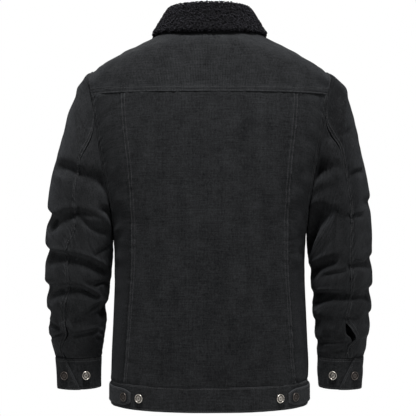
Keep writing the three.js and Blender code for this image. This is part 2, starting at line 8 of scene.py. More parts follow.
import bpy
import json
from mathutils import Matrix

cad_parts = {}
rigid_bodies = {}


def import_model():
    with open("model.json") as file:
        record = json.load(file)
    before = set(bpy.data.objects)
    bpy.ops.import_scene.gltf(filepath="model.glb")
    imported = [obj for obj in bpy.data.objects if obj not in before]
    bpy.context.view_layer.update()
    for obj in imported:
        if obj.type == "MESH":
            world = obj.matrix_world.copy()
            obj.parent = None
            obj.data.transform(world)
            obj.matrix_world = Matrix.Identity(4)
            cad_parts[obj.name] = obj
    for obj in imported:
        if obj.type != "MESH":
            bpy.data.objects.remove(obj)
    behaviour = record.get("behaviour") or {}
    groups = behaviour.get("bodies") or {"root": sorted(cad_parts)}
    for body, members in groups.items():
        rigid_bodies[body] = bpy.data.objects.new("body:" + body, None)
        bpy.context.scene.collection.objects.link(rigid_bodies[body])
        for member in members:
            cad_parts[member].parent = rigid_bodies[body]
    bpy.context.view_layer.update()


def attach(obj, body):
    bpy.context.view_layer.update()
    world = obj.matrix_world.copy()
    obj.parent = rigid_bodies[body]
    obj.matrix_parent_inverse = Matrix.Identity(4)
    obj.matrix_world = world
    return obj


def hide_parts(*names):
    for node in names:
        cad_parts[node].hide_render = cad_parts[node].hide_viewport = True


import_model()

# %% [markdown]
# ## The camera
# The photograph looks straight at the back from about two metres, level with the middle of
# the jacket. A long lens keeps the sleeves and the hem from spreading.

# %% Camera
import json
import math

import bpy
import numpy as np

MM = 0.001
CAMERA_AWAY = 2.25
PHOTO_WIDTH = 0.7696        # metres that the photograph is wide, at the jacket's middle
PHOTO_MIDDLE = (0.0028, -0.330)         # x and z
SENSOR = 36.0

lens = bpy.data.cameras.new("studio_camera")
lens.sensor_width = SENSOR
lens.lens = SENSOR * CAMERA_AWAY / PHOTO_WIDTH
camera = bpy.data.objects.new("studio_camera", lens)
camera.location = (PHOTO_MIDDLE[0], CAMERA_AWAY, PHOTO_MIDDLE[1])
camera.rotation_euler = (math.radians(90), 0, math.radians(180))
bpy.context.scene.collection.objects.link(camera)
bpy.context.scene.camera = camera
bpy.context.scene.view_settings.view_transform = "Standard"
print("lens", round(lens.lens, 1), "mm")

# %% [markdown]
# ## The form of the body
# A jacket on a body is a stack of rounded oblongs: flat at the back, rounder at the sides,
# and closing over the shoulders to the neck. Sculpting it by hand would be as good for one
# picture, but the panels, the seams and the sewing all have to lie on the same surface, so
# it is a function: an angle round the body and a level give a point. All of these lengths
# are in millimetres, and become metres when a mesh is made.

# %% Heights and thicknesses
CLOTH = 3.0                 # corduroy with its pile lining
BAND = 4.0                  # waistband and cuffs
PILE = 9.0                  # one ply of the collar
SEAM_GAP = 0.12             # between two panels
LAYER_GAP = 0.3             # between a piece and the one that it lies on
HEM = -687.0
WAIST_SEAM = -643.0
YOKE_SEAM = -125.0
CUFF_SEAM = -606.0
CUFF_HEM = -665.0
SHOULDER_RUN = 150.0        # levels above the yoke seam, up to the neck

# %% The body's rows: height, half width, depth of back, depth of front, squareness
BODY = np.array([
    (-687, 182, 135, 137, 2.3),
    (-643, 181, 135, 138, 2.3),
    (-600, 180, 135, 140, 2.3),
    (-530, 177, 132, 139, 2.35),
    (-460, 175, 129, 138, 2.4),
    (-387, 177, 129, 138, 2.45),
    (-343, 184, 130, 138, 2.5),
    (-297, 196, 131, 136, 2.5),
    (-252, 207, 131, 132, 2.5),
    (-207, 215, 130, 126, 2.5),
    (-165, 220, 128, 118, 2.5),
    (-125, 223, 123, 108, 2.5),
], dtype=float)
HALF_WIDTH, BACK, FRONT, SQUARENESS = 1, 2, 3, 4


def read_row(table, height, column):
    """A smooth curve through one column of a table, read at some heights"""
    at, value = table[:, 0], table[:, column]
    slope = np.empty(len(at))
    slope[1:-1] = (value[2:] - value[:-2]) / (at[2:] - at[:-2])
    slope[0] = (value[1] - value[0]) / (at[1] - at[0])
    slope[-1] = (value[-1] - value[-2]) / (at[-1] - at[-2])
    i = np.clip(np.searchsorted(at, height) - 1, 0, len(at) - 2)
    span = at[i + 1] - at[i]
    t = np.clip((height - at[i]) / span, 0, 1)
    rest = 1 - t
    return (value[i] * (1 + 2 * t) * rest * rest + slope[i] * span * t * rest * rest
            + value[i + 1] * t * t * (3 - 2 * t) - slope[i + 1] * span * t * t * rest)


def smooth(value):
    t = np.clip(value, 0, 1)
    return t * t * (3 - 2 * t)


def mix(a, b, share):
    return a + (b - a) * share


def fade(away, reach):
    """1 on a line, and next to nothing at twice the reach from it"""
    return np.exp(-(away / reach) ** 2)


def signed_power(value, power):
    return np.sign(value) * np.abs(value) ** power


def points(x, y, z):
    return np.stack(np.broadcast_arrays(x, y, z), axis=-1).astype(float)


def unit(vectors):
    length = np.linalg.norm(vectors, axis=-1, keepdims=True)
    return vectors / np.maximum(length, 1e-9)


def turn(degrees):
    """Cosine and sine of angles in degrees"""
    angle = np.radians(degrees)
    return np.cos(angle), np.sin(angle)


def ring_point(height, angle):
    """A point of the body's level ring: 0 is the wearer's left, 90 the back"""
    c, s = turn(angle)
    power = 2 / read_row(BODY, height, SQUARENESS)
    depth = np.where(s > 0, read_row(BODY, height, BACK), read_row(BODY, height, FRONT))
    width = read_row(BODY, height, HALF_WIDTH)
    return points(width * signed_power(c, power), depth * signed_power(s, power), height)


print("chest", round(2 * read_row(BODY, np.array(-252.0), HALF_WIDTH)), "mm wide")

# %% [markdown]
# ## Shoulders, neck and armholes
# Above the yoke seam the surface turns over the shoulder's ridge and runs in to the neck.
# An armhole is a squared oval seen from the side, cut out of the body: its edge is found
# by halving an interval until the body's surface crosses that oval.

# %% Shoulders and neck
NECK_HALF_WIDTH, NECK_BACK, NECK_FRONT = 78.0, 73.0, 82.0
NECK_SIDE_Z, NECK_FRONT_Z = -2.0, -85.0
RIDGE_SIDE_Z, RIDGE_BACK_Z, RIDGE_FRONT_Z = -86.0, -40.0, -108.0
RIDGE_SIDE_REACH, RIDGE_BACK_REACH = 1.012, 0.9
RIDGE_AT, RIDGE_SOFTNESS = 0.28, 0.14


def neck_point(angle):
    c, s = turn(angle)
    at_back = s > 0
    deep = np.where(at_back, NECK_BACK, NECK_FRONT)
    height = np.where(at_back, NECK_SIDE_Z * (1 - s),
                      NECK_SIDE_Z + (NECK_FRONT_Z - NECK_SIDE_Z) * s * s)
    return points(NECK_HALF_WIDTH * c, s * deep, height)


def shoulder_point(angle, share):
    c, s = turn(angle)
    side = np.abs(c) ** 1.4
    start, end = ring_point(YOKE_SEAM, angle), neck_point(angle)
    middle = np.where(s > 0, RIDGE_BACK_Z, RIDGE_FRONT_Z)
    reach = mix(RIDGE_BACK_REACH, RIDGE_SIDE_REACH, side)
    ridge = points(start[..., 0] * reach, start[..., 1] * reach,
                   mix(middle, RIDGE_SIDE_Z, side))

    def along(t):
        t = np.asarray(t, dtype=float)[..., None]
        return np.where(t < RIDGE_AT, mix(start, ridge, t / RIDGE_AT),
                        mix(ridge, end, (t - RIDGE_AT) / (1 - RIDGE_AT)))

    bend = np.clip((share - RIDGE_AT + RIDGE_SOFTNESS) / (2 * RIDGE_SOFTNESS), 0, 1)[..., None]
    turned = (along(RIDGE_AT - RIDGE_SOFTNESS) * (1 - bend) ** 2
              + ridge * 2 * bend * (1 - bend)
              + along(RIDGE_AT + RIDGE_SOFTNESS) * bend ** 2)
    straight = np.abs(share - RIDGE_AT)[..., None] > RIDGE_SOFTNESS
    return np.where(straight, along(share), turned)


def body_point(angle, level):
    """level counts from the yoke seam: below it in millimetres, above it to the neck"""
    angle, level = np.broadcast_arrays(np.asarray(angle, float), np.asarray(level, float))
    below = ring_point(YOKE_SEAM + np.minimum(level, 0), angle)
    above = shoulder_point(angle, np.clip(level / SHOULDER_RUN, 0, 1))
    return np.where((level <= 0)[..., None], below, above)


def body_normal(angle, level):
    """The direction out of the cloth, from the slope over a few millimetres"""
    up = (body_point(angle, np.minimum(level + 2, SHOULDER_RUN))
          - body_point(angle, np.maximum(level - 2, HEM - YOKE_SEAM)))
    around = body_point(angle + 1, level) - body_point(angle - 1, level)
    return unit(np.cross(around, up))


def angle_at_x(height, x):
    """Where on the wearer's left half of the back a level ring has this x"""
    share = np.clip(x / read_row(BODY, height, HALF_WIDTH), -1, 1)
    return np.degrees(np.arccos(signed_power(share, read_row(BODY, height, SQUARENESS) / 2)))


# %% Armholes
ARMHOLE_Z, ARMHOLE_HALF_DEPTH, ARMHOLE_HALF_HEIGHT = -229.0, 64.0, 143.0
ARMHOLE_SQUARENESS = 2.35
ARMPIT_LEVEL = ARMHOLE_Z - ARMHOLE_HALF_HEIGHT - YOKE_SEAM
HALVINGS = 30


def outside_armhole(place):
    """Below 0 inside the squared oval, 0 on it"""
    y = np.abs(place[..., 1]) / ARMHOLE_HALF_DEPTH
    z = np.abs(place[..., 2] - ARMHOLE_Z) / ARMHOLE_HALF_HEIGHT
    return y ** ARMHOLE_SQUARENESS + z ** ARMHOLE_SQUARENESS - 1


def crossing(rises, low, high):
    """Where a rising function passes zero, for many intervals at once"""
    low, high = np.array(low, float), np.array(high, float)
    for _ in range(HALVINGS):
        middle = (low + high) / 2
        below = rises(middle) < 0
        low, high = np.where(below, middle, low), np.where(below, high, middle)
    return (low + high) / 2


def armhole_angle(level, sign):
    """Half the armhole's opening at a level, as an angle round the body"""
    level, sign = np.broadcast_arrays(np.asarray(level, float), np.asarray(sign, float))
    cut = (level > ARMPIT_LEVEL) & (outside_armhole(body_point(0 * level, level)) < 0)
    found = crossing(lambda a: outside_armhole(body_point(sign * a, level)),
                     0 * level, 0 * level + 60)
    return np.where(cut, sign * found, 0)


def armhole_top(angle):
    """The level at which a line up the shoulder leaves the armhole"""
    angle = np.asarray(angle, float)
    inside = outside_armhole(body_point(angle, 0 * angle)) < 0
    found = crossing(lambda level: outside_armhole(body_point(angle, level)),
                     0 * angle, 0 * angle + SHOULDER_RUN)
    return np.where(inside, found, 0)


def find_armhole_edge(angle):
    """Body angle and level of the armhole's edge: 0 at the shoulder, 90 back, 180 under"""
    c, s = turn(angle)
    power = 2 / ARMHOLE_SQUARENESS
    level = ARMHOLE_Z + ARMHOLE_HALF_HEIGHT * signed_power(c, power) - YOKE_SEAM
    y = ARMHOLE_HALF_DEPTH * signed_power(s, power)
    sign = np.where(y < 0, -1.0, 1.0)
    beside = armhole_angle(np.minimum(level, 0), sign)
    widest = np.abs(armhole_angle(0 * level, sign))
    over = sign * crossing(
        lambda a: sign * (body_point(sign * a, armhole_top(sign * a))[..., 1] - y),
        0 * level, widest)
    high = level > 0
    return np.where(high, over, beside), np.where(high, armhole_top(over), level)


EDGE_ANGLES = np.linspace(0, 360, 721)
edge_round, edge_level = find_armhole_edge(EDGE_ANGLES % 360)
edge_places = body_point(edge_round, edge_level)
print("armhole measures", round(float(np.linalg.norm(
    np.diff(edge_places, axis=0), axis=1).sum())), "mm round")

# %% [markdown]
# ## The sleeves
# A sleeve hangs as an oval tube, set into its armhole and pushed up in heavy folds. A cloth
# simulation would fold it, but somewhere else each time, and these folds are known: each is
# a trough along a slanted line, so they are placed one by one. The broad ones are those of the
# imported solids, made steeper above; the narrow ones are the creases between and across them.

# %% A sleeve's rows: height, outer and inner x, middle y, half depth
SLEEVE = np.array([
    (-665, 286, 204, -36, 45),
    (-606, 289, 202, -31, 48),
    (-585, 294, 199, -28, 55),
    (-550, 300, 194, -22, 62),
    (-500, 303, 189, -16, 69),
    (-450, 304, 184.5, -11, 75),
    (-387, 302, 180, -6, 78),
    (-330, 299, 171, -3, 80),
    (-278, 292, 161, -1, 80),
    (-223, 279, 152, 0, 78),
    (-156, 263, 148, 0, 74),
    (-112, 248, 150, 0, 69),
    (-86, 231, 150, 0, 65),
], dtype=float)
OUTER, INNER, MIDDLE, HALF_DEPTH = 1, 2, 3, 4

# Broad folds: height, angle, reach in degrees, depth, breadth, rise per degree
BROAD_FOLDS = {
    "left": [
        (-277, 104, 50, 9, 15, -0.57), (-352, 50, 112, 12, 14, -0.3),
        (-417, 52, 118, 12, 13, -0.27), (-471, 66, 124, 12, 12, 0.04),
        (-523, 4, 48, 7, 11, 0.08), (-526, 132, 92, 12, 12, 0.34),
        (-310, 262, 64, 9, 15, 0.4), (-385, 248, 66, 11, 14, 0.25),
        (-458, 270, 70, 10, 13, -0.15), (-540, 278, 64, 9, 12, 0.12),
    ],
    "right": [
        (-274, 122, 40, 13, 13, -0.66), (-358, 138, 50, 15, 16, -0.7),
        (-318, 12, 56, 5, 13, -0.1), (-431, 92, 146, 9, 12, -0.12),
        (-483, 88, 146, 11, 12, -0.05), (-532, 92, 146, 8, 11, -0.08),
        (-575, 108, 120, 8, 10, -0.04), (-336, 266, 64, 10, 15, 0.34),
        (-410, 256, 60, 9, 13, 0.3), (-476, 262, 74, 11, 13, -0.1),
        (-545, 272, 68, 9, 12, 0.1),
    ],
}
STEEP_SIDE, SLOPING_SIDE = 0.5, 1.5         # of a broad fold's breadth, above and below
BACK_SHARE, BACK_MIDDLE, BACK_REACH, BACK_SOFT = 0.2, 98.0, 70.0, 30.0      # see broad_depth

# Folds on the back of the sleeves, read off the photograph, which is 416 wide: three
# places (x, y) that the bottom runs through, depth, and the breadth of its upper and lower
# side in millimetres. A depth below zero is a ridge.
SHOWN_FOLDS = {
    "left": [
        ((56, 168), (80, 175), (103, 192), 10, 12, 9), ((86, 181), (97, 189), (107, 199), 6, 3, 7),
        ((97, 174), (103, 179), (108, 186), 8, 3, 5), ((90, 158), (97, 166), (105, 174), -4, 6, 4),
        ((50, 224), (60, 218), (74, 214), 8, 7, 14), ((68, 214), (80, 213), (91, 215), 6, 4, 11),
        ((80, 218), (92, 227), (102, 232), 6, 5, 8), ((88, 211), (98, 219), (106, 232), -3, 4, 4),
        ((93, 208), (102, 213), (110, 226), 7, 4, 7), ((48, 254), (76, 257), (105, 270), 10, 3.5, 13),
        ((94, 256), (101, 250), (108, 244), 3, 3, 4), ((50, 297), (70, 288), (96, 296), 7, 3.5, 12),
        ((94, 286), (100, 284), (106, 282), 4, 3, 3), ((84, 290), (91, 293), (99, 297), 4, 2.5, 5),
        ((76, 322), (88, 312), (100, 304), 3, 3, 6), ((46, 322), (53, 325), (60, 328), 6, 4, 5),
        ((50, 337), (56, 335), (63, 333), 5, 3, 4), ((60, 328), (66, 326), (72, 329), -5, 8, 7),
        ((72, 336), (84, 334), (97, 331), 4, 3, 6),
    ],
    "right": [
        ((338, 167), (324, 178), (310, 191), 20, 15, 6), ((312, 203), (324, 195), (338, 184), 2, 3, 5),
        ((350, 176), (356, 173), (363, 171), 3, 4, 5), ((312, 210), (327, 203), (343, 211), -5, 5, 2.5),
        ((331, 206), (319, 223), (307, 243), 20, 12, 17), ((344, 215), (353, 216), (364, 214), 2, 2.5, 6),
        ((338, 259), (326, 262), (311, 272), 9, 5, 10), ((348, 266), (357, 264), (370, 263), 5, 3, 7),
        ((322, 275), (334, 273), (347, 271), 3, 2.5, 4), ((314, 294), (332, 293), (354, 296), 10, 2.5, 11),
        ((312, 304), (320, 301), (332, 296), 6, 5, 6), ((352, 296), (360, 296), (370, 297), 5, 2.5, 6),
        ((338, 318), (346, 317), (358, 318), 3, 3, 4), ((322, 337), (332, 337), (345, 338), 4, 8, 6),
        ((318, 343), (332, 343), (346, 342), 3, 3, 3), ((330, 352), (342, 351), (352, 348), 2, 3, 4),
        ((320, 146), (334, 139), (352, 131), 2.5, 6, 6),
    ],
}

# Folds on the front of the sleeves, which the photograph doesn't show: (angle, height)
HIDDEN_FOLDS = {
    "left": [
        ((205, -300), (240, -322), (285, -330), 5, 3, 8),
        ((214, -352), (262, -372), (300, -396), 4, 4, 7),
        ((230, -430), (266, -436), (318, -426), 5, 2.5, 8),
        ((205, -476), (247, -487), (290, -482), 4, 3, 6),
        ((252, -512), (284, -520), (322, -540), 3, 3, 5),
        ((300, -366), (328, -352), (350, -346), 3, 4, 6),
    ],
    "right": [
        ((200, -318), (244, -306), (292, -322), 5, 3, 8),
        ((216, -384), (258, -398), (306, -390), 4, 4, 7),
        ((224, -452), (270, -448), (316, -461), 5, 2.5, 7),
        ((206, -500), (250, -512), (300, -506), 4, 3, 6),
        ((246, -566), (282, -558), (326, -562), 3, 3, 5),
        ((296, -350), (326, -338), (352, -344), 3, 4, 6),
    ],
}
PIXEL, MIDDLE_X, MIDDLE_Y, MIDDLE_Z = 1.85, 209.5, 208.0, -330.0    # pixel in millimetres


def seen_at(x, y):
    """Angle and height on a sleeve of a place in the photograph"""
    near = 60.0
    for _ in range(12):
        pixel = PIXEL * (1 - near * MM / CAMERA_AWAY)
        height = MIDDLE_Z - (y - MIDDLE_Y) * pixel
        outer, inner = read_row(SLEEVE, height, OUTER), read_row(SLEEVE, height, INNER)
        out = (abs(MIDDLE_X - x) * pixel - (outer + inner) / 2) / ((outer - inner) / 2)
        angle = math.degrees(math.acos(min(max(out, -1), 1)))
        near = (read_row(SLEEVE, height, MIDDLE)
                + read_row(SLEEVE, height, HALF_DEPTH) * math.sin(math.radians(angle)))
    return angle, float(height)


CREASES = {side: [(*(seen_at(*place) for place in fold[:3]), *fold[3:])
                  for fold in SHOWN_FOLDS[side]] + HIDDEN_FOLDS[side]
           for side in ("left", "right")}


def broad_depth(folds, angle, height, sharp):
    """Depth of the broad folds

    Sharp ones are steep above. They keep only a share of their depth on the back, where
    the creases read off the photograph take their place.
    """
    depth = 0 * height
    for fold_height, fold_angle, reach, deep, breadth, rise in folds:
        away = (angle - fold_angle + 540) % 360 - 180
        across = (height - fold_height - rise * away) / breadth
        along = np.clip(away / reach, -1, 1)
        if sharp:
            across = across / np.where(across > 0, STEEP_SIDE, SLOPING_SIDE)
        depth = depth + deep * np.cos(along * math.pi / 2) ** 1.2 * np.exp(-across ** 2)
    if sharp:
        from_back = np.abs((angle - BACK_MIDDLE + 540) % 360 - 180)
        depth = depth * mix(BACK_SHARE, 1, smooth((from_back - BACK_REACH + BACK_SOFT) / BACK_SOFT))
    return depth


LIP_SHARE, LIP_AWAY = 0.2, 2.4      # a steep side ends in a lip, this high and this far off


def crease_depth(creases, angle, height):
    """Depth of the creases, each along a curve through its three points"""
    depth = 0 * height
    for start, middle, end, deep, above, below in creases:
        span = end[0] - start[0]
        share = ((angle - start[0] + 540) % 360 - 180) / span
        bend = (middle[0] - start[0]) / span
        sag = middle[1] - mix(start[1], end[1], bend)
        line = mix(start[1], end[1], share) + sag * share * (1 - share) / (bend * (1 - bend))
        taper = smooth((share + 0.12) / 0.3) * smooth((1.12 - share) / 0.3)
        across = height - line
        depth = depth + deep * taper * fade(across, np.where(across > 0, above, below))
        steep = min(above, below)
        if deep > 0 and steep < 0.7 * max(above, below):
            off = (across if above < below else -across) / steep - LIP_AWAY
            depth = depth - LIP_SHARE * deep * taper * fade(off, 1)
    return depth


def sleeve_section(angle, height):
    c, s = turn(angle)
    outer, inner = read_row(SLEEVE, height, OUTER), read_row(SLEEVE, height, INNER)
    return points((outer + inner) / 2 + (outer - inner) / 2 * c,
                  read_row(SLEEVE, height, MIDDLE) + read_row(SLEEVE, height, HALF_DEPTH) * s,
                  height)


def at_edge(values, angle):
    """Reads a column of the armhole's edge table at any angle"""
    return np.stack([np.interp(angle % 360, EDGE_ANGLES, values[:, k]) for k in range(3)],
                    axis=-1)


# The two sleeves aren't quite alike: where one is fuller or slimmer, and how full its cap is
SWELLS = {"left": [(-120, 24, -6.0), (-175, 50, -2.0), (-430, 110, 1.8)],
          "right": [(-175, 50, 1.2), (-430, 110, -1.8)]}
CAP_RISE, CAP_REACH = {"left": 6.0, "right": 5.0}, 34.0
CAP_FILLED, CAP_FILLED_AT = {"left": 9.0, "right": 10.0}, {"left": 7.0, "right": 9.0}
CAP_FRONT, CAP_BACK, CAP_SOFT = -30.0, 46.0, 25.0


def on_cap(angle):
    """1 on top of the shoulder, 0 at the yoke's ends in front and behind"""
    angle = (angle + 180) % 360 - 180
    return smooth((CAP_BACK - angle) / CAP_SOFT) * smooth((angle - CAP_FRONT) / CAP_SOFT)


# Below the armhole its shape lasts this far, on the outer and on the inner side; and this
# far from armhole and cuff the broad folds, and then the creases, are at their full depth
BLEND_OUTER, BLEND_INNER = 25, 100
FOLDS_BELOW, FOLDS_ABOVE_CUFF, CREASES_BELOW, CREASES_ABOVE_CUFF = 55, 22, 16, 8


def sleeve_point(side, angle, s, fine=True):
    """s runs from 0 at the armhole to 1 at the cuff. Both sides are made on the wearer's left"""
    edge = at_edge(edge_places, angle) + np.array([0.8, 0, 0])
    height = edge[..., 2] + (CUFF_SEAM + SEAM_GAP - edge[..., 2]) * s
    run = edge[..., 2] - height
    c, sine = turn(angle)
    blend = mix(BLEND_OUTER, BLEND_INNER, (1 - c) / 2)
    place = sleeve_section(angle, height)
    towards = smooth(run / blend)[..., None]
    place[..., :2] = mix(edge[..., :2], place[..., :2], towards)
    calm = smooth(run / FOLDS_BELOW) * smooth((height - CUFF_SEAM) / FOLDS_ABOVE_CUFF)
    depth = broad_depth(BROAD_FOLDS[side], angle, height, fine) * calm
    if fine:
        depth = depth + (crease_depth(CREASES[side], angle, height)
                         * smooth(run / CREASES_BELOW)
                         * smooth((height - CUFF_SEAM) / CREASES_ABOVE_CUFF))
        for middle, breadth, amount in SWELLS[side]:
            depth = depth - amount * fade(height - middle, breadth) * np.abs(c)
    place[..., 0] -= depth * c
    place[..., 1] -= depth * sine
    if fine:
        away = run / CAP_FILLED_AT[side]
        place[..., 0] += CAP_FILLED[side] * on_cap(angle) * away * np.exp(1 - away)
        place[..., 2] += CAP_RISE[side] * on_cap(angle) * (1 - smooth(run / CAP_REACH))
    return place


def cuff_point(angle, height, out):
    """A point on or off the wrist's oval, and its level outward direction"""
    around = sleeve_section(angle + 1, height) - sleeve_section(angle - 1, height)
    outward = unit(points(around[..., 1], -around[..., 0], 0 * height))
    return sleeve_section(angle, height) + outward * np.asarray(out)[..., None], outward


wrist = sleeve_section(np.linspace(0, 360, 181), np.full(181, CUFF_SEAM))
print("wrist measures", round(float(np.linalg.norm(
    np.diff(wrist, axis=0), axis=1).sum())), "mm round")

# %% [markdown]
# ## Small unevenness
# Real cloth is never a clean surface. Soft random waves come from sums of a few sines in
# slanted directions: they need no picture, repeat exactly at each run, and their breadth is
# set in millimetres. Seams pull the cloth in at each stitch, which leaves a row of puckers.

# %% Waves and seam relief
def waves(seed, along, across, breadth, count=7):
    """Soft random waves about one unit high, of about one breadth"""
    rng = np.random.default_rng(seed)
    total = 0 * along
    for _ in range(count):
        heading, phase = rng.uniform(0, 2 * math.pi, 2)
        pitch = 2 * math.pi / (breadth * rng.uniform(0.75, 1.6))
        total = total + np.sin(pitch * (along * math.cos(heading)
                                        + across * math.sin(heading)) + phase)
    return total / math.sqrt(count)


def seam_ridge(away, along, seed, lift=0.9, width=9.0, pucker=0.5):
    """Height of a felled seam's upper ply over the cloth beside it, by distance from it"""
    flat = lift * (1 - smooth((away - width) / 2.5))
    rows = fade(away - 1.8, 0.9) + fade(away - width + 1.6, 0.9)
    stitched = 0.45 * rows * (1 + 0.35 * waves(seed, along, 0 * along, 7))
    gathered = (pucker * fade(np.maximum(away - width, 0), 7)
                * waves(seed + 1, along, 0.35 * away, 9))
    return flat - stitched + gathered


def seam_valley(away, along, seed, pucker=0.4):
    """The ply that lies under the felled one, drawn in beside it"""
    return -0.5 * fade(away, 2.5) + pucker * fade(away, 8) * waves(seed, along, 0.3 * away, 9)


def rubbed_and_highlit(away, along, seed, width=9.0):
    """How pale a felled seam is, rubbed and with a painted highlight: its edge and its far row, pucker by
    pucker
    """
    rows = fade(away - 0.8, 1.1) + 0.6 * fade(away - width + 0.8, 1.1)
    return rows * np.clip(0.45 + 0.6 * waves(seed, along, 0 * along, 7), 0, 1.3)

# %% [markdown]
# ## Writing a finish as sums
# Every finish is a small recipe of procedural nodes. Placing and wiring nodes one by one is
# slow to read, so a socket is wrapped in a class with the usual operators: an expression on
# values adds its Math nodes, and any other node comes from one method. What changes over a
# surface feeds only colour, roughness, metal or bump.

# %% A socket with operators
class Value:
    def __init__(self, tree, socket=None):
        self.tree = tree
        self.socket = socket

    def node(self, kind, settings=(), inputs=(), output=0):
        """Adds a node: its settings first, then the values or links of its sockets"""
        made = self.tree.nodes.new(kind)
        for name, setting in dict(settings).items():
            setattr(made, name, setting)
        for name, given in dict(inputs).items():
            if isinstance(given, Value):
                self.tree.links.new(given.socket, made.inputs[name])
            else:
                made.inputs[name].default_value = given
        return Value(self.tree, made.outputs[output])

    def math(self, operation, other=None):
        inputs = {0: self} if other is None else {0: self, 1: other}
        return self.node("ShaderNodeMath", {"operation": operation}, inputs)

    def __add__(self, other):
        return self.math("ADD", other)

    __radd__ = __add__

    def __mul__(self, other):
        return self.math("MULTIPLY", other)

    __rmul__ = __mul__

    def __sub__(self, other):
        return self.math("SUBTRACT", other)

    def __rsub__(self, other):
        return self.node("ShaderNodeMath", {"operation": "SUBTRACT"}, {0: other, 1: self})

    def noise(self, where, scale, detail=2.0, rough=0.5):
        return self.node("ShaderNodeTexNoise", {}, {
            "Vector": where, "Scale": scale, "Detail": detail, "Roughness": rough})

    def place(self):
        """Where a point of the surface lies, in metres"""
        return self.node("ShaderNodeTexCoord", output="Object")

    def wear(self):
        """How worn a point is, and its painted light and shade, as stored with the mesh"""
        return self.node("ShaderNodeAttribute", {"attribute_name": "wear"}, output="Fac")

    def scaled(self, by):
        """This vector times another, part by part"""
        return self.node("ShaderNodeVectorMath", {"operation": "MULTIPLY"},
                         {0: self, 1: by})

    def between(self, dark, light):
        """A colour from dark to light as this value goes from 0 to 1"""
        return self.node("ShaderNodeMix", {"data_type": "RGBA"}, {
            "Factor": self, 6: (*dark, 1), 7: (*light, 1)}, 2)


def new_finish(name, plain):
    """A material, its shader, and a value to start expressions from"""
    finish = bpy.data.materials.new(name)
    finish.use_nodes = True
    shader = finish.node_tree.nodes["Principled BSDF"]
    for socket, number in plain.items():
        shader.inputs[socket].default_value = number
    return finish, shader, Value(finish.node_tree)


def feed(finish, shader, **values):
    """Links colour, rough, metal and bump to the shader; bump is (height, strength, depth)"""
    sockets = {"colour": "Base Color", "rough": "Roughness", "metal": "Metallic"}
    for name, value in values.items():
        if name == "bump":
            height, strength, depth = value
            value = height.node("ShaderNodeBump", {}, {
                "Height": height, "Strength": strength, "Distance": depth})
            finish.node_tree.links.new(value.socket, shader.inputs["Normal"])
        else:
            finish.node_tree.links.new(value.socket, shader.inputs[sockets[name]])


# %% [markdown]
# ## Corduroy
# Corduroy is cut pile that stands in rows, the wales, here about ten to the inch. Seen from
# two metres they blur into faint upright streaks, so the streaks are coloured too: they come
# from noise drawn out along the wale, and a little of it across. A soft nap breaks up the
# light. Cloth that stands proud at a seam is rubbed paler and also gets a painted highlight,
# and some panels get painted shade, both through the stored value. Sheen gives a dusty edge.

# %% Black corduroy
WALE = 0.0024
TONE_BASE = 1.32            # about the sum of the tone's parts where the cloth is darkest


def corduroy(name, dark, light, turned=False):
    """turned cloth has its wales level, as on the bands"""
    finish, shader, start = new_finish(name, {
        "Sheen Weight": 0.06, "Sheen Roughness": 0.5, "Specular IOR Level": 0.1,
        "Sheen Tint": (0.80, 0.84, 0.92, 1)})
    cloth = start.node("ShaderNodeUVMap", {"uv_map": "cloth"})
    parts = cloth.node("ShaderNodeSeparateXYZ", {}, {0: cloth}, 1 if turned else 0)

    def drawn_out(across, along, detail, rough=0.5):
        stretch = (along, across, 1) if turned else (across, along, 1)
        return start.noise(cloth.scaled(stretch), 1.0, detail, rough)

    waver = start.noise(cloth.scaled((90, 90, 1)), 1.0) - 0.5
    phase = (parts + waver * (WALE * 0.35)) * (2 * math.pi / WALE)
    wale = phase.math("COSINE") * 0.5 + 0.5
    streak, panel_streak = drawn_out(420, 90, 3.0, 0.6), drawn_out(40, 8, 2.0)
    weft = drawn_out(40, 420, 2.0)
    place, wear = start.place(), start.wear()
    mottle = start.noise(place, 34.0, 3.0, 0.55)
    grain = start.noise(place, 430.0, 2.0, 0.6)
    nap = start.noise(place, 1700.0, 2.0)
    # the stored value adds rubbed seams, painted seam highlights and painted shade to the tone
    tone = (wale * 0.2 + streak * 0.6 + panel_streak * 0.4 + mottle * 0.4 + grain * 0.85
            + weft * 0.6 + nap * 0.3 + wear * 0.6 - TONE_BASE)
    feed(finish, shader, colour=tone.between(dark, light),
         rough=0.98 - wale * 0.08 - wear * 0.06,
         bump=(wale.math("POWER", 0.6) + nap * 0.5 + grain * 1.6 + streak * 0.5,
               0.8, 0.0006))
    return finish


CHARCOAL, CHARCOAL_LIGHT = (0.0062, 0.0065, 0.0070), (0.052, 0.054, 0.057)
upright_cord = corduroy("black_corduroy", CHARCOAL, CHARCOAL_LIGHT)
level_cord = corduroy("black_corduroy_turned", CHARCOAL, CHARCOAL_LIGHT, turned=True)
print("corduroy", round(0.0254 / WALE, 1), "wales to the inch")
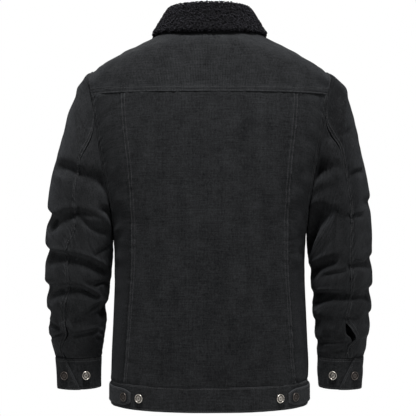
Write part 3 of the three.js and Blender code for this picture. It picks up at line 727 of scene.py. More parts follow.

# %% [markdown]
# ## Sherpa, thread and lining
# Sherpa is a knit with long pile brushed into curls. The curls on the collar are modelled;
# their finish paints the gaps between them darker as shade, paints their tips paler as a
# highlight, and adds the fine hairs that catch a cool light.
# Inside the jacket the same pile shows only through the openings, so there it is a deep bump
# pattern. Thread is a twisted yarn: a fine slanted ribbing is enough at its size.

# %% Black sherpa, lining pile and thread
def sherpa(name, dark, light, curl_depth):
    finish, shader, start = new_finish(name, {
        "Sheen Weight": 0.18, "Sheen Roughness": 0.4, "Specular IOR Level": 0.2,
        "Sheen Tint": (0.82, 0.80, 0.95, 1)})
    place, tip = start.place(), start.wear()
    drift = start.node("ShaderNodeTexNoise", {}, {
        "Vector": place, "Scale": 120.0, "Detail": 2.0}, "Color")
    bent = start.node("ShaderNodeMix", {"data_type": "VECTOR"}, {
        "Factor": 0.012, 4: place, 5: drift}, 1)
    curls = start.node("ShaderNodeTexVoronoi", {"feature": "SMOOTH_F1"}, {
        "Vector": bent, "Scale": 210.0, "Smoothness": 0.6}, "Distance")
    hairs = start.noise(place, 1500.0, 3.0, 0.6)
    patches = start.noise(place, 60.0, 2.0)
    # painted shade: the gaps between the cells are darker; tip paints curl tips paler as a highlight, and
    # on the lining carries the cloth's wear and painted light
    height = 1.0 - curls * 1.3
    tone = height * 0.25 + tip * 0.9 + hairs * 0.35 + patches * 0.25 - 0.45
    feed(finish, shader, colour=tone.between(dark, light), rough=0.98 - tip * 0.1,
         bump=(height + hairs * 0.5, 0.8, curl_depth))
    return finish


pile = sherpa("black_sherpa", (0.0014, 0.0014, 0.0018), (0.028, 0.026, 0.034), 0.0012)
lining = sherpa("black_sherpa_lining", (0.003, 0.003, 0.0036), (0.028, 0.027, 0.032), 0.003)

thread, thread_shader, start = new_finish("black_thread", {
    "Specular IOR Level": 0.35, "Sheen Weight": 0.15})
twist = start.noise(start.place(), 1600.0)
feed(thread, thread_shader, colour=twist.between((0.03, 0.03, 0.032), (0.08, 0.08, 0.084)),
     rough=0.85 - twist * 0.2, bump=(twist, 0.6, 0.0002))

# %% [markdown]
# ## Button metals
# The jacket has two kinds of jeans button: dark antiqued bronze and a lighter nickel. Both
# are plated and then tumbled, so the plating is worn through on the rims and stays dark in
# the hollows. Wear follows the height of the button's own profile, stored on its points.

# %% Antiqued bronze and nickel
def antiqued(name, hollow, proud, shine):
    finish, shader, start = new_finish(name, {"Specular IOR Level": 0.5})
    place, wear = start.place(), start.wear()
    patina = start.noise(place, 420.0, 4.0, 0.6)
    scratches = start.noise(place.scaled((900, 260, 900)), 1.0, 2.0)
    tone = wear * 0.85 + patina * 0.5 - 0.2
    feed(finish, shader, colour=tone.between(hollow, proud),
         metal=0.75 + wear * 0.25, rough=shine + patina * 0.3 - wear * 0.08,
         bump=(patina * 0.6 + scratches * 0.4, 0.35, 0.0002))
    return finish


bronze = antiqued("antiqued_bronze", (0.016, 0.014, 0.013), (0.15, 0.13, 0.12), 0.4)
nickel = antiqued("antiqued_nickel", (0.030, 0.024, 0.020), (0.92, 0.86, 0.78), 0.24)
print("finishes:", len(bpy.data.materials))

# %% [markdown]
# ## Making a piece of cloth
# A piece is a grid of outer points and the same grid moved inward by the cloth's thickness,
# joined round its edges. A solidify modifier would do the same, but here the inside keeps
# its own finish and the thickness is the same beside every fold. The texture coordinates
# are lengths on the cloth in metres, so the wales of the corduroy keep their true pitch.
# Sizes in the functions below are in millimetres, as for the form.

# %% Grids
def closer_at_ends(count, length, zone=12.0, steps=11):
    """Shares from 0 to 1, about a millimetre apart within a zone at each end"""
    edge = min(zone / length, 0.3)
    return np.concatenate([
        np.linspace(0, edge, steps + 1),
        np.linspace(edge, 1 - edge, count - 2 * steps + 1)[1:],
        np.linspace(1 - edge, 1, steps + 1)[1:],
    ])


def run_along(grid, axis):
    """Length along a grid's lines from their start, in millimetres"""
    steps = np.linalg.norm(np.diff(grid, axis=axis), axis=-1)
    start = np.zeros_like(np.take(steps, [0], axis=axis))
    return np.concatenate([start, np.cumsum(steps, axis=axis)], axis=axis)


def margins(grid):
    """Distances of every point from the start and end edges, across and along"""
    across, along = run_along(grid, 0), run_along(grid, 1)
    return (across, across[-1:, :] - across, along, along[:, -1:] - along)


def grid_normals(grid):
    """Upright to a grid, on the side that its columns and then its rows turn to"""
    across, along = np.gradient(grid, axis=0), np.gradient(grid, axis=1)
    return unit(np.cross(across, along))


# %% Closed cloth
MIRROR = np.array([-1.0, 1, 1])


def grid_faces(columns, rows):
    i, j = np.meshgrid(np.arange(columns - 1), np.arange(rows - 1), indexing="ij")
    a = (i * rows + j).ravel()
    return np.stack([a, a + rows, a + rows + 1, a + 1], axis=1)


def rim_faces(columns, rows):
    """The faces that join two grids round their edges, and the loop that they follow"""
    count = columns * rows
    bottom = np.arange(columns) * rows
    left = np.arange(rows)
    loop = np.concatenate([bottom, bottom[-1] + left[1:], (bottom + rows - 1)[::-1][1:],
                           left[::-1][1:]])
    a, b = loop[:-1], loop[1:]
    return np.stack([b, a, a + count, b + count], axis=1), loop


def make_mesh(name, vertices, faces, finishes, finish_index=None, uv=None, sharp=None):
    """An object of a mesh in metres, from points in millimetres"""
    mesh = bpy.data.meshes.new(name)
    mesh.from_pydata((vertices * MM).tolist(), [], list(faces))
    for finish in finishes:
        mesh.materials.append(finish)
    if finish_index is not None:
        mesh.polygons.foreach_set("material_index", finish_index.astype(np.int32))
    if uv is not None:
        corners = np.empty(len(mesh.loops), dtype=np.int32)
        mesh.loops.foreach_get("vertex_index", corners)
        layer = mesh.uv_layers.new(name="cloth")
        layer.data.foreach_set("uv", (uv[corners] * MM).ravel().astype(np.float32))
    mesh.polygons.foreach_set("use_smooth", np.ones(len(mesh.polygons), dtype=bool))
    if sharp is not None:
        ends = np.empty(2 * len(mesh.edges), dtype=np.int32)
        mesh.edges.foreach_get("vertices", ends)
        ends = ends.reshape(-1, 2)
        mark = mesh.attributes.new("sharp_edge", "BOOLEAN", "EDGE")
        mark.data.foreach_set("value", sharp[ends[:, 0]] & sharp[ends[:, 1]])
    mesh.validate()
    piece = bpy.data.objects.new(name, mesh)
    bpy.context.scene.collection.objects.link(piece)
    return piece


def store_wear_and_painted_light(piece, wear):
    """Stores how worn each point is, and its painted light and shade, for the finishes to read"""
    layer = piece.data.attributes.new("wear", "FLOAT", "POINT")
    layer.data.foreach_set("value", wear.ravel().astype(np.float32))


def cloth_piece(name, cloth, thickness, finishes, uv, wear, mirrored):
    """cloth is a grid of outer points and their unit directions out of the cloth"""
    outer, outward = cloth
    columns, rows = outer.shape[:2]
    inner = outer - outward * thickness
    if mirrored:
        outer, inner = outer * MIRROR, inner * MIRROR
    quads = grid_faces(columns, rows)
    rim, loop = rim_faces(columns, rows)
    count = columns * rows
    faces = np.concatenate([quads, quads[:, ::-1] + count, rim])
    vertices = np.concatenate([outer.reshape(-1, 3), inner.reshape(-1, 3)])
    first = vertices[faces[:count // 2]]
    facing = np.cross(first[:, 1] - first[:, 0], first[:, 3] - first[:, 0])
    out = (outer - inner).reshape(-1, 3)[faces[:count // 2, 0]]
    if np.sum(facing * out) < 0:
        faces = faces[:, ::-1]
    inside = np.concatenate([np.zeros(len(quads)), np.ones(len(quads)), np.zeros(len(rim))])
    edge = np.zeros(2 * count, dtype=bool)
    edge[loop] = edge[loop + count] = True
    piece = make_mesh(name, vertices, faces, finishes, inside,
                      np.tile(uv.reshape(-1, 2), (2, 1)), edge)
    store_wear_and_painted_light(piece, np.tile(wear.ravel(), 2))
    return piece


# %% [markdown]
# ## Sewing
# Topstitching is a row of short thread bridges that sink into the cloth at both ends. A
# bump pattern could hint at it, but real thread stands proud and catches the light, so each
# stitch is a small spindle, four-sided to stay light, laid along a line on the cloth.

# %% Stitches
STITCH_PITCH, STITCH_LENGTH, STITCH_RADIUS = 3.1, 2.5, 0.36
STITCH_LIFT, STITCH_SUNK, STITCH_FULL = 0.12, 0.35, 0.26    # its middle, its ends, its shoulders
STITCH_POINTS = 10          # two ends and two rings of four


def line_beside(grid, away, distance, axis):
    """The line on a grid that runs at a distance from one of its edges"""
    moved = grid if axis == 0 else np.swapaxes(grid, 0, 1)
    lengths = away if axis == 0 else away.T
    line = np.empty((moved.shape[1], 3))
    for j in range(moved.shape[1]):
        order = np.argsort(lengths[:, j])
        for k in range(3):
            line[j, k] = np.interp(distance, lengths[order, j], moved[order, j, k])
    return line


def stitch_rows(name, lines, mirrored):
    """One object with every stitch along some lines, given with their outward directions"""
    vertices, faces = [], []
    count = 0
    for line, outward in lines:
        run = run_along(line, 0)
        places = np.arange(STITCH_PITCH, run[-1] - STITCH_PITCH / 2, STITCH_PITCH)

        def read(values, at):
            return np.stack([np.interp(at, run, values[:, k]) for k in range(3)], axis=-1)

        half = STITCH_LENGTH / 2
        start, end = read(line, places - half), read(line, places + half)
        up = unit(read(outward, places))
        along = unit(end - start)
        side = np.cross(up, along)
        middle = (start + end) / 2 + up * STITCH_LIFT
        loops = [start - up * STITCH_SUNK]
        for step in (-STITCH_FULL, STITCH_FULL):
            for x, y in ((1, 0), (0, 1), (-1, 0), (0, -1)):
                loops.append(middle + along * step * STITCH_LENGTH
                             + (side * x + up * y) * STITCH_RADIUS)
        loops.append(end - up * STITCH_SUNK)
        vertices.append(np.stack(loops, axis=1).reshape(-1, 3))
        base = count + STITCH_POINTS * np.arange(len(places))
        for k in range(4):
            following = (k + 1) % 4
            near, near_next = base + 1 + k, base + 1 + following
            far, far_next = base + 5 + k, base + 5 + following
            faces.append(np.stack([near, near_next, far_next, far], axis=1))
            faces.append(np.stack([base, near_next, near, near], axis=1))
            faces.append(np.stack([base + 9, far, far_next, far_next], axis=1))
        count += STITCH_POINTS * len(places)
    faces = [list(dict.fromkeys(face)) for face in np.concatenate(faces).tolist()]
    piece = make_mesh(name, np.concatenate(vertices) * (MIRROR if mirrored else 1),
                      [face[::-1] if mirrored else face for face in faces], [thread])
    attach(piece, "root")
    print(f"{name}: {count // STITCH_POINTS} stitches")


# %% A finished piece
def sew(name, node, cloth, look, sewing="", lines=(), mirrored=False):
    """Makes a piece with its topstitching, and hides the solid that it stands for

    look is its thickness, finishes, lengths across and along it, and its wear with painted
    light and shade; a line of stitches runs at a distance from one edge, along an axis, and
    may keep only a part.
    """
    piece = cloth_piece(name, cloth, *look, mirrored)
    if sewing:
        found = []
        for away, distance, axis, *part in lines:
            kept = part[0] if part else slice(None)
            found.append([line_beside(grid, away, distance, axis)[kept] for grid in cloth])
        stitch_rows(sewing, found, mirrored)
    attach(piece, "root")
    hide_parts(node)

# %% [markdown]
# ## The back
# A yoke across the shoulders, one wide centre panel and two narrow side panels. The yoke is
# felled over the panels and sewn down with two rows; the centre panel is felled over the
# side ones. Between the seams the back hangs nearly flat: it only swells and hollows by a
# millimetre or two, with slack below the arms and a little gathering above the waistband.

# %% Levels and edges that the panels share
FLOOR_LEVEL = WAIST_SEAM + SEAM_GAP / 2 - YOKE_SEAM
BACK_SEAM = np.array([
    (-643, 154), (-515, 145), (-423, 139.5), (-330, 141), (-250, 146), (-180, 154),
    (-125, 157.5)], dtype=float)
PANEL_LENGTH = -FLOOR_LEVEL


def degrees_for(length, angle, height):
    """Degrees round the body that a length takes, near an angle"""
    step = ring_point(height, angle + 0.5) - ring_point(height, angle - 0.5)
    return length / np.linalg.norm(step, axis=-1)


def back_seam_angle(level):
    height = YOKE_SEAM + level
    return angle_at_x(height, read_row(BACK_SEAM, height, 1))


def body_sway(place, seed):
    """Soft swelling of the hanging cloth, more of it low down and under the arms"""
    x, z = place[..., 0], place[..., 2]
    slack = smooth((-150 - z) / 200)
    broad = waves(seed, x, z * 0.35, 120)
    low = waves(seed + 3, x, z * 0.5, 46) * 0.7 * smooth((-560 - z) / 70)
    return (broad + low) * (0.4 + 0.6 * slack)


# Shallow drags of the back: from (x, height) to (x, height), depth and breadth
DRAGS = [
    (186, -330, 96, -372, 1.8, 15), (-184, -318, -104, -366, 2.0, 14),
    (190, -262, 128, -322, 1.4, 11), (-192, -250, -132, -308, 1.6, 12),
    (162, -596, 88, -628, 1.2, 10), (-166, -590, -78, -622, 1.3, 11),
    (58, -150, 34, -300, 0.9, 18), (-46, -148, -70, -286, 0.8, 16),
    (12, -560, 26, -640, 0.8, 12), (-112, -470, -92, -560, 0.9, 15),
]


def drag_depth(place):
    depth = 0 * place[..., 0]
    for x0, z0, x1, z1, deep, breadth in DRAGS:
        line = np.array([x1 - x0, z1 - z0], float)
        length = np.linalg.norm(line)
        line /= length
        dx, dz = place[..., 0] - x0, place[..., 2] - z0
        along = (dx * line[0] + dz * line[1]) / length
        across = (-dx * line[1] + dz * line[0]) / breadth
        taper = smooth((along + 0.1) / 0.35) * smooth((1.1 - along) / 0.35)
        depth = depth + deep * taper * fade(across, 1)
    return depth


def panel_grid(columns, breadth, rows):
    """Shares across a back panel, and the levels of its points"""
    u = closer_at_ends(columns, breadth)
    level = mix(FLOOR_LEVEL, -SEAM_GAP, closer_at_ends(rows, PANEL_LENGTH))
    return u[:, None], np.broadcast_to(level, (len(u), len(level)))


def off_body(base, angle, level, relief):
    """A piece's outer points, and its directions out of the cloth"""
    outward = body_normal(angle, level)
    return base + outward * relief[..., None], outward


# %% Centre back panel
CORD, LEVEL_CORD = [upright_cord, lining], [level_cord] * 2
INNER_WALL = 2.2            # the shown wall, a little thinner than the solid one
NEAR_ROW, FAR_ROW = 1.8, 7.4            # the rows of sewing, from a felled edge
DARKER_LOW = 0.14           # how much darker the middle of the back is made low down
u, level = panel_grid(120, 300, 190)
edge = back_seam_angle(level[0])
gap = degrees_for(SEAM_GAP / 2, edge, YOKE_SEAM + level[0])
angle = mix(edge + gap, 180 - edge - gap, u)
base = body_point(angle, level)
left, right, low, high = margins(base)
relief = (seam_ridge(left, low, 11, 0.6) + seam_ridge(right, low, 12, 0.6)
          + seam_valley(high, left, 13) * 1.2 + seam_valley(low, left, 14)
          + body_sway(base, 21) - drag_depth(base))
wear = (rubbed_and_highlit(left, low, 15) + rubbed_and_highlit(right, low, 16)
        - DARKER_LOW * smooth((-200 - level) / 250))
uv = np.stack([left - left[-1:] / 2, low], axis=-1)
sew("centre_back_panel", "back_centre", off_body(base, angle, level, relief),
    (INNER_WALL, CORD, uv, wear), "centre_back_sewing",
    [(away, row, 0) for away in (left, right) for row in (NEAR_ROW, FAR_ROW)])

# %% Side back panels
PAINTED_SHADE, PAINTED_SHADE_FROM = {"left": 0.6, "right": 0.34}, -120.0       # painted shade, low on each side of the back
ARM_SOFT, ABOVE_ARMPIT = 12.0, ARMPIT_LEVEL + 6


def shown_side(grid, mirrored):
    """Where the points of a mirrored piece really lie"""
    return grid * (MIRROR if mirrored else 1)


for side, seed in (("left", 50), ("right", 30)):
    mirrored = side == "right"
    u, level = panel_grid(44, 90, 170)
    height = YOKE_SEAM + level[0]
    seam = back_seam_angle(level[0])
    start = armhole_angle(level[0], 1) + degrees_for(SEAM_GAP / 2, 1, height)
    angle = mix(start, seam - degrees_for(SEAM_GAP / 2, seam, height), u)
    base = body_point(angle, level)
    arm, seam_side, low, high = margins(base)
    at_arm = smooth((level - ARMPIT_LEVEL) / ARM_SOFT)
    shown = shown_side(base, mirrored)
    relief = (seam_ridge(arm, low, seed, 0.8) * at_arm + seam_valley(seam_side, low, seed + 2)
              + seam_valley(high, arm, seed + 3) * 1.2 + seam_valley(low, arm, seed + 4)
              + (body_sway(shown, seed + 5) - drag_depth(shown))
              * mix(smooth(arm / 40), 1, at_arm)
              + 1.1 * waves(seed + 6, low, arm * 0.5, 30) * smooth((level + 420) / 160)
              * np.minimum(arm, seam_side) / 40)
    # painted shade darkens the lower side panels, more on the left
    wear = (0.8 * rubbed_and_highlit(arm, low, seed + 7) * at_arm
            - PAINTED_SHADE[side] * smooth((PAINTED_SHADE_FROM - level) / 200))
    beside_arm = level[0] > ABOVE_ARMPIT
    sew(f"side_back_panel_{side}", f"back_side_{side}", off_body(base, angle, level, relief),
        (INNER_WALL, CORD, np.stack([seam_side, low], axis=-1), wear),
        f"side_back_sewing_{side}",
        [(arm, row, 0, beside_arm) for row in (NEAR_ROW, FAR_ROW)], mirrored)

# %% [markdown]
# ## The yoke
# The yoke is one piece from the blades over both shoulders to the front, so nothing but its
# felled edge breaks it. Its lower edge is turned under and stands a millimetre proud of the
# panels: in the photograph it reads as one pale line with a dark one below it. Beside the
# sleeves its edge is raised a little, to meet their filled-out heads.

# %% Where the yoke and the seams meet the armhole
STATION_YOKE_SEAM, STATION_UNDER_ARM = 3, 12
STATION_FRONT_YOKE, STATION_BACK_SEAM, STATION_FRONT_SEAM = -2, 4, -9


def station_angle(k):
    """Where round the armhole its k-th shared corner lies"""
    high = (YOKE_SEAM - ARMHOLE_Z) / ARMHOLE_HALF_HEIGHT
    seam = math.degrees(math.acos(high ** (ARMHOLE_SQUARENESS / 2)))
    if k > STATION_UNDER_ARM:
        return 360 + station_angle(k - 2 * STATION_UNDER_ARM)
    steps = abs(k)
    if steps <= STATION_YOKE_SEAM:
        return seam * k / STATION_YOKE_SEAM
    below = (steps - STATION_YOKE_SEAM) / (STATION_UNDER_ARM - STATION_YOKE_SEAM)
    return math.copysign(seam + (180 - seam) * below, k)


yoke_start = np.interp(360 + station_angle(STATION_FRONT_YOKE), EDGE_ANGLES, edge_round)
yoke_seam = float(armhole_angle(0.0, 1.0))
print("the yoke starts at", round(float(yoke_start), 1), "and its seam at",
      round(yoke_seam, 1), "degrees")

# %% Yoke
YOKE_ARM_COLUMNS, YOKE_BACK_COLUMNS, YOKE_FELL, YOKE_FAR_ROW = 30, 56, 9.5, 7.9
YOKE_FRONT_TURN, YOKE_BACK_TURN = -30.7, 46.0           # its ends, as angles on a sleeve
FALL_LEVEL, FALL_HIGH, FALL_ROUND, FALL_LIFT = 72, 34, 42, 6.0      # it swells under the collar
RAISED_EDGE = 6             # millimetres in from the sleeve
over_arm = np.linspace(yoke_start, yoke_seam, YOKE_ARM_COLUMNS)
half = np.concatenate([over_arm, np.linspace(yoke_seam, 90, YOKE_BACK_COLUMNS)[1:]])
angles = np.concatenate([half, 180 - half[::-1][1:]])
on_left = np.where(angles <= 90, angles, 180 - angles)
lowest = np.where(on_left < yoke_seam - 0.01, armhole_top(on_left), 0)
v = closer_at_ends(64, 190, zone=14, steps=14)
level = mix(lowest[:, None], SHOULDER_RUN, v)
angle = np.broadcast_to(angles[:, None], level.shape)
base = body_point(angle, level)
low = margins(base)[2]
run = run_along(base[:, :1], 0)
felled = smooth((on_left - yoke_seam + 4) / 6)[:, None]
over_arm = (on_left - on_left.min()) / (yoke_seam - on_left.min())
raised = (np.where(angles <= 90, CAP_RISE["left"], CAP_RISE["right"])
          * on_cap(mix(YOKE_FRONT_TURN, YOKE_BACK_TURN, over_arm)))[:, None]
under_fall = fade(level - FALL_LEVEL, FALL_HIGH) * fade(angle - 90, FALL_ROUND)
relief = (seam_ridge(low, run, 61, 0.55, YOKE_FELL, 0.35) * felled
          + seam_ridge(low, run, 64, 0.5) * (1 - felled)
          + FALL_LIFT * under_fall
          + 0.9 * waves(66, base[..., 0], base[..., 1] * 0.7, 75) * smooth(low / 30)
          + 0.5 * waves(67, base[..., 0], low, 32) * smooth(low / 20))
yoke_outer, outward = off_body(base, angle, level, relief)
yoke_outer[..., 2] += raised * fade(low, RAISED_EDGE)
# painted highlight: the whole yoke is a little paler, as lit from above
wear = 0.9 * rubbed_and_highlit(low, run, 68, YOKE_FELL) + 0.1
middle = run_along(body_point(angle, 0 * level + 60), 0)
uv = np.stack([middle - middle[-1:] / 2, low], axis=-1)
sew("yoke", "back_yoke", (yoke_outer, outward), (INNER_WALL, CORD, uv, wear),
    "yoke_sewing", [(low, row, 1) for row in (NEAR_ROW, YOKE_FAR_ROW)])

# %% [markdown]
# ## Fronts, placket, waistband and tabs
# The photograph shows only the back, so the fronts are plain: two panels, a placket on the
# wearer's left front with its two rows of sewing, and the same corduroy. The waistband is
# one strip that laps over itself in front. A short tab at each side buttons back on to it,
# and ends in a soft point.

# %% Fronts
FRONT_COLUMNS, FRONT_TOP_COLUMNS = 46, 40
BAND_LAP, BAND_LIFTS, BAND_LIFT_SOFT = 9.0, 340.0, 18.0     # degrees round the waistband
LIFTED_FROM, BESIDE_PLACKET, FILLED_BEHIND = -65.5, -82.0, 4.2
YOKE_CLEAR, SIDE_CLEAR, MIDDLE_CLEAR = 0.4, 0.02, 0.12      # degrees to what is beside
front_edge = float(yoke_start) - YOKE_CLEAR
neck_levels = np.linspace(float(armhole_top(front_edge)), SHOULDER_RUN, FRONT_TOP_COLUMNS)
panel_levels = mix(FLOOR_LEVEL, -SEAM_GAP, closer_at_ends(136, PANEL_LENGTH))
between = np.linspace(-SEAM_GAP, neck_levels[0], 6)[1:-1]
front_levels = np.concatenate([panel_levels, between, neck_levels])
front_starts = np.where(front_levels < 0, np.minimum(armhole_angle(
    np.minimum(front_levels, 0), -1), -SIDE_CLEAR), front_edge)
u = closer_at_ends(FRONT_COLUMNS, 200)
level = np.broadcast_to(front_levels, (len(u), len(front_levels)))
angle = mix(front_starts[None, :], -90 + MIDDLE_CLEAR, u[:, None] ** 0.9)
base = body_point(angle, level)
arm, middle, low, high = margins(base)
at_arm = smooth((level - ARMPIT_LEVEL) / ARM_SOFT)
beside_arm = (front_levels > ABOVE_ARMPIT) & (front_levels < -4)
for side, seed in (("left", 90), ("right", 80)):
    mirrored = side == "right"
    relief = (seam_ridge(arm, low, seed, 0.7) * at_arm + seam_valley(low, arm, seed + 2)
              + body_sway(base, seed + 3) * smooth(middle / 40))
    if mirrored:                    # it fills in behind the waistband's lifted end
        relief = relief + (FILLED_BEHIND * smooth((LIFTED_FROM - angle) / BAND_LIFT_SOFT)
                           * (1 - smooth((BESIDE_PLACKET - angle) / 2)) * fade(low, 12))
    wear = 0.8 * rubbed_and_highlit(arm, low, seed + 4) * at_arm
    sew(f"front_panel_{side}", f"front_{side}", off_body(base, angle, level, relief),
        (INNER_WALL, CORD, np.stack([middle, low], axis=-1), wear),
        f"front_sewing_{side}",
        [(arm, row, 0, beside_arm) for row in (NEAR_ROW, FAR_ROW)], mirrored)

# %% Placket
PLACKET_WIDTH, PLACKET_TOP, PLACKET_ROW = 42.0, SHOULDER_RUN - 12, 2.2
v = closer_at_ends(150, 620)
level = np.broadcast_to(mix(FLOOR_LEVEL, PLACKET_TOP, v), (26, len(v)))
half = degrees_for(PLACKET_WIDTH / 2, -90.0, np.minimum(YOKE_SEAM + level[0], YOKE_SEAM))
angle = -90 + mix(-half, half, np.linspace(0, 1, 26)[:, None])
base = body_point(angle, level)
left, right, low, high = margins(base)
nearest = np.minimum(left, right)
relief = (-0.45 * fade(nearest - PLACKET_ROW, 0.9) * (1 + 0.4 * waves(101, low, left, 8))
          - 0.8 * fade(nearest, 0.8) + 0.25 * waves(102, low, left, 18))
sew("placket", "front_placket",
    off_body(base, angle, level, relief + (CLOTH + LAYER_GAP + 0.3)),
    (INNER_WALL, [upright_cord] * 2, np.stack([left, low], axis=-1), fade(nearest, 1.6)),
    "placket_sewing",
    [(away, PLACKET_ROW, 0) for away in (left, right)])

# %% Waistband
HIGH_ROW, LOW_ROW = 2.4, 3.2            # from the upper and the lower edge of a band
BAND_WALL = BAND - 0.4
u = np.linspace(0, 1, 270)
v = closer_at_ends(30, WAIST_SEAM - HEM, 5, 6)
turned = (360 + BAND_LAP) * u[:, None] + 0 * v
height = mix(HEM, WAIST_SEAM - SEAM_GAP / 2, v) + 0 * turned
angle = -90 - BAND_LAP / 2 + turned
base = ring_point(height, angle)
run, rest, low, high = margins(base)
lifted = smooth((turned - BAND_LIFTS) / BAND_LIFT_SOFT) * (BAND + LAYER_GAP + 0.3)
relief = (-0.8 * fade(np.minimum(low, high), 0.9) - 0.4 * fade(high - HIGH_ROW, 0.9)
          - 0.4 * fade(low - LOW_ROW, 0.9) + 0.35 * waves(111, run, low * 0.4, 16)
          + 0.5 * waves(112, run, low * 0.3, 70) - 0.4 * fade(rest, 0.9))
wear = 0.9 * fade(low, 1.8) + 0.55 * fade(high, 2.2)
sew("waist_band", "waistband", off_body(base, angle, height - YOKE_SEAM, relief + lifted),
    (BAND_WALL, LEVEL_CORD, np.stack([run, low], axis=-1), wear),
    "waist_band_sewing",
    [(high, HIGH_ROW, 1), (low, LOW_ROW, 1)])

# %% Waist tabs
TAB_FROM, TAB_END_X, TAB_LOW, TAB_HIGH, TAB_POINT = -9.0, 139.0, -681.0, -651.0, 7.0
TAB_WALL, TAB_ROW, POINTED_FROM = 2.4, 2.6, 0.8
u = np.concatenate([np.linspace(0, POINTED_FROM, 60), np.linspace(POINTED_FROM, 1, 36)[1:]])
v = closer_at_ends(34, 30, 5, 8)
end = angle_at_x(np.array((TAB_LOW + TAB_HIGH) / 2), TAB_END_X)
narrow = TAB_POINT * np.clip((u[:, None] - POINTED_FROM) / 0.2, 0, 1) ** 2
height = mix(TAB_LOW + narrow, TAB_HIGH - narrow, v)
angle = mix(TAB_FROM, end, u[:, None]) + 0 * height
base = ring_point(height, angle)
run, rest, low, high = margins(base)
nearest = np.minimum(np.minimum(low, high), rest)
relief = (-0.9 * fade(nearest, 0.9) - 0.4 * fade(nearest - TAB_ROW, 0.9)
          + 0.3 * waves(121, run, low, 16))
wear = 0.3 + 0.7 * fade(nearest, 2.4)
cloth = off_body(base, angle, height - YOKE_SEAM, relief + (CLOTH + LAYER_GAP + 0.2))
for side in ("left", "right"):
    sew(f"waist_tab_{side}_cloth", f"waist_tab_{side}", cloth,
        (TAB_WALL, LEVEL_CORD, np.stack([run, low], axis=-1), wear),
        f"waist_tab_sewing_{side}",
        [(low, TAB_ROW, 1), (high, TAB_ROW, 1), (rest, TAB_ROW, 0, slice(6, -6))],
        side == "right")

# %% [markdown]
# ## Sleeves
# Each sleeve is two panels joined by one seam that runs down its back. That seam is felled
# with the outer panel on top, and it is short of cloth, so it puckers all the way down. Just
# above the cuff the seam is left open for a few centimetres: the vent.

# %% The sleeve's back seam
VENT_FROM, VENT_TO, VENT_OPENING = 0.82, 0.93, 10.0     # shares of the way down, and degrees
VENT_WIDTH = {"left": 0.3, "right": 1.3}
# Share of the way down and angle of the back seam, which wanders as the folds pull it
SEAM_WANDER = {
    "left": [(0.03, 72), (0.1, 78), (0.24, 81), (0.39, 88), (0.52, 77), (0.67, 82), (0.8, 73),
             (0.89, 77), (0.96, 60), (1, 62)],
    "right": [(0.04, 70), (0.19, 74), (0.36, 75), (0.52, 81), (0.71, 81), (0.8, 90),
              (0.88, 81), (0.92, 71), (0.95, 82), (1, 78)],
}


def back_seam_at(side, s):
    table = np.array([(0, station_angle(STATION_BACK_SEAM)), *SEAM_WANDER[side]])
    return read_row(table, s, 1)


def vent_share(s):
    down = np.clip((s - VENT_FROM) / (VENT_TO - VENT_FROM), 0, 1)
    return np.sin(math.pi * down ** 1.4) ** 0.8


def back_seam_gap(side, s):
    """Degrees from the seam to either panel"""
    return (0.25 + 0.5 * (1 - smooth(s / 0.14))
            + VENT_OPENING * 0.5 * VENT_WIDTH[side] * vent_share(s))


# %% Sleeve panels
PAINTED_SLEEVE_SHADE = {"left": 0.0, "right": 0.46}    # painted shade on the right sleeve's top
SLEEVE_LENGTH, SLEEVE_ROWS, OUTER_COLUMNS, UNDER_COLUMNS = 520, 196, 108, 70
FRONT_SEAM, FRONT_SEAM_GAP = station_angle(STATION_FRONT_SEAM), 0.4


def sleeve_panel(side, part, seed):
    """A sleeve panel's cloth, its lengths from the back seam and down, and its wear with painted shade"""
    s = closer_at_ends(SLEEVE_ROWS, SLEEVE_LENGTH)
    seam, gap = back_seam_at(side, s), back_seam_gap(side, s)
    if part == "outer":
        u = closer_at_ends(OUTER_COLUMNS, 300)
        angle = mix(FRONT_SEAM + FRONT_SEAM_GAP + 0 * s, seam - gap, u[:, None])
    else:
        u = closer_at_ends(UNDER_COLUMNS, 300)
        angle = mix(seam + gap, FRONT_SEAM + 360 - FRONT_SEAM_GAP + 0 * s, u[:, None])
    down = s + 0 * angle
    form = sleeve_point(side, angle, down, fine=False)
    base = sleeve_point(side, angle, down)
    first, last, top, bottom = margins(base)
    at_vent = vent_share(down)
    if part == "outer":
        back = last
        relief = (seam_ridge(back, top, seed, 0.7, 9.0, 0.95) * (1 - 0.4 * at_vent)
                  + seam_valley(first, top, seed + 2, 0.3))
    else:
        back = first
        relief = seam_valley(back, top, seed, 0.8) + seam_valley(last, top, seed + 2, 0.3)
    relief = relief + at_vent * 1.6 * fade(back, 4)
    around = run_along(form, 0)
    calm = smooth(top / 30) * smooth(bottom / 14)
    relief = (relief + seam_valley(top, around, seed + 3, 0.5)
              + seam_valley(bottom, around, seed + 4, 0.5)
              + calm * (0.5 * waves(seed + 5, down * SLEEVE_LENGTH, around * 0.5, 60)
                        + 0.2 * waves(seed + 6, down * SLEEVE_LENGTH, around * 0.6, 22)))
    # painted shade darkens the top of the right sleeve
    wear = (0.8 * rubbed_and_highlit(back, top, seed + 7) * smooth(top / 60) + 0.5 * fade(bottom - 1.5, 1.6)
            - PAINTED_SLEEVE_SHADE[side] * smooth((260 - top) / 120))
    # the rows run downwards, so the grid's own normals point into the sleeve
    cloth = base - grid_normals(base) * relief[..., None], -grid_normals(form)
    return cloth, np.stack([back, top], axis=-1), np.clip(wear, -1, 1)


for side, seed in (("left", 160), ("right", 140)):
    mirrored = side == "right"
    cloth, uv, wear = sleeve_panel(side, "outer", seed)
    sew(f"outer_sleeve_{side}", f"sleeve_outer_{side}", cloth, (INNER_WALL, CORD, uv, wear),
        f"sleeve_sewing_{side}",
        [(uv[..., 0], row, 0) for row in (NEAR_ROW, FAR_ROW)], mirrored)
    cloth, uv, wear = sleeve_panel(side, "under", seed + 10)
    sew(f"under_sleeve_{side}", f"sleeve_under_{side}", cloth,
        (INNER_WALL, CORD, uv, 0.4 * wear),
        mirrored=mirrored)

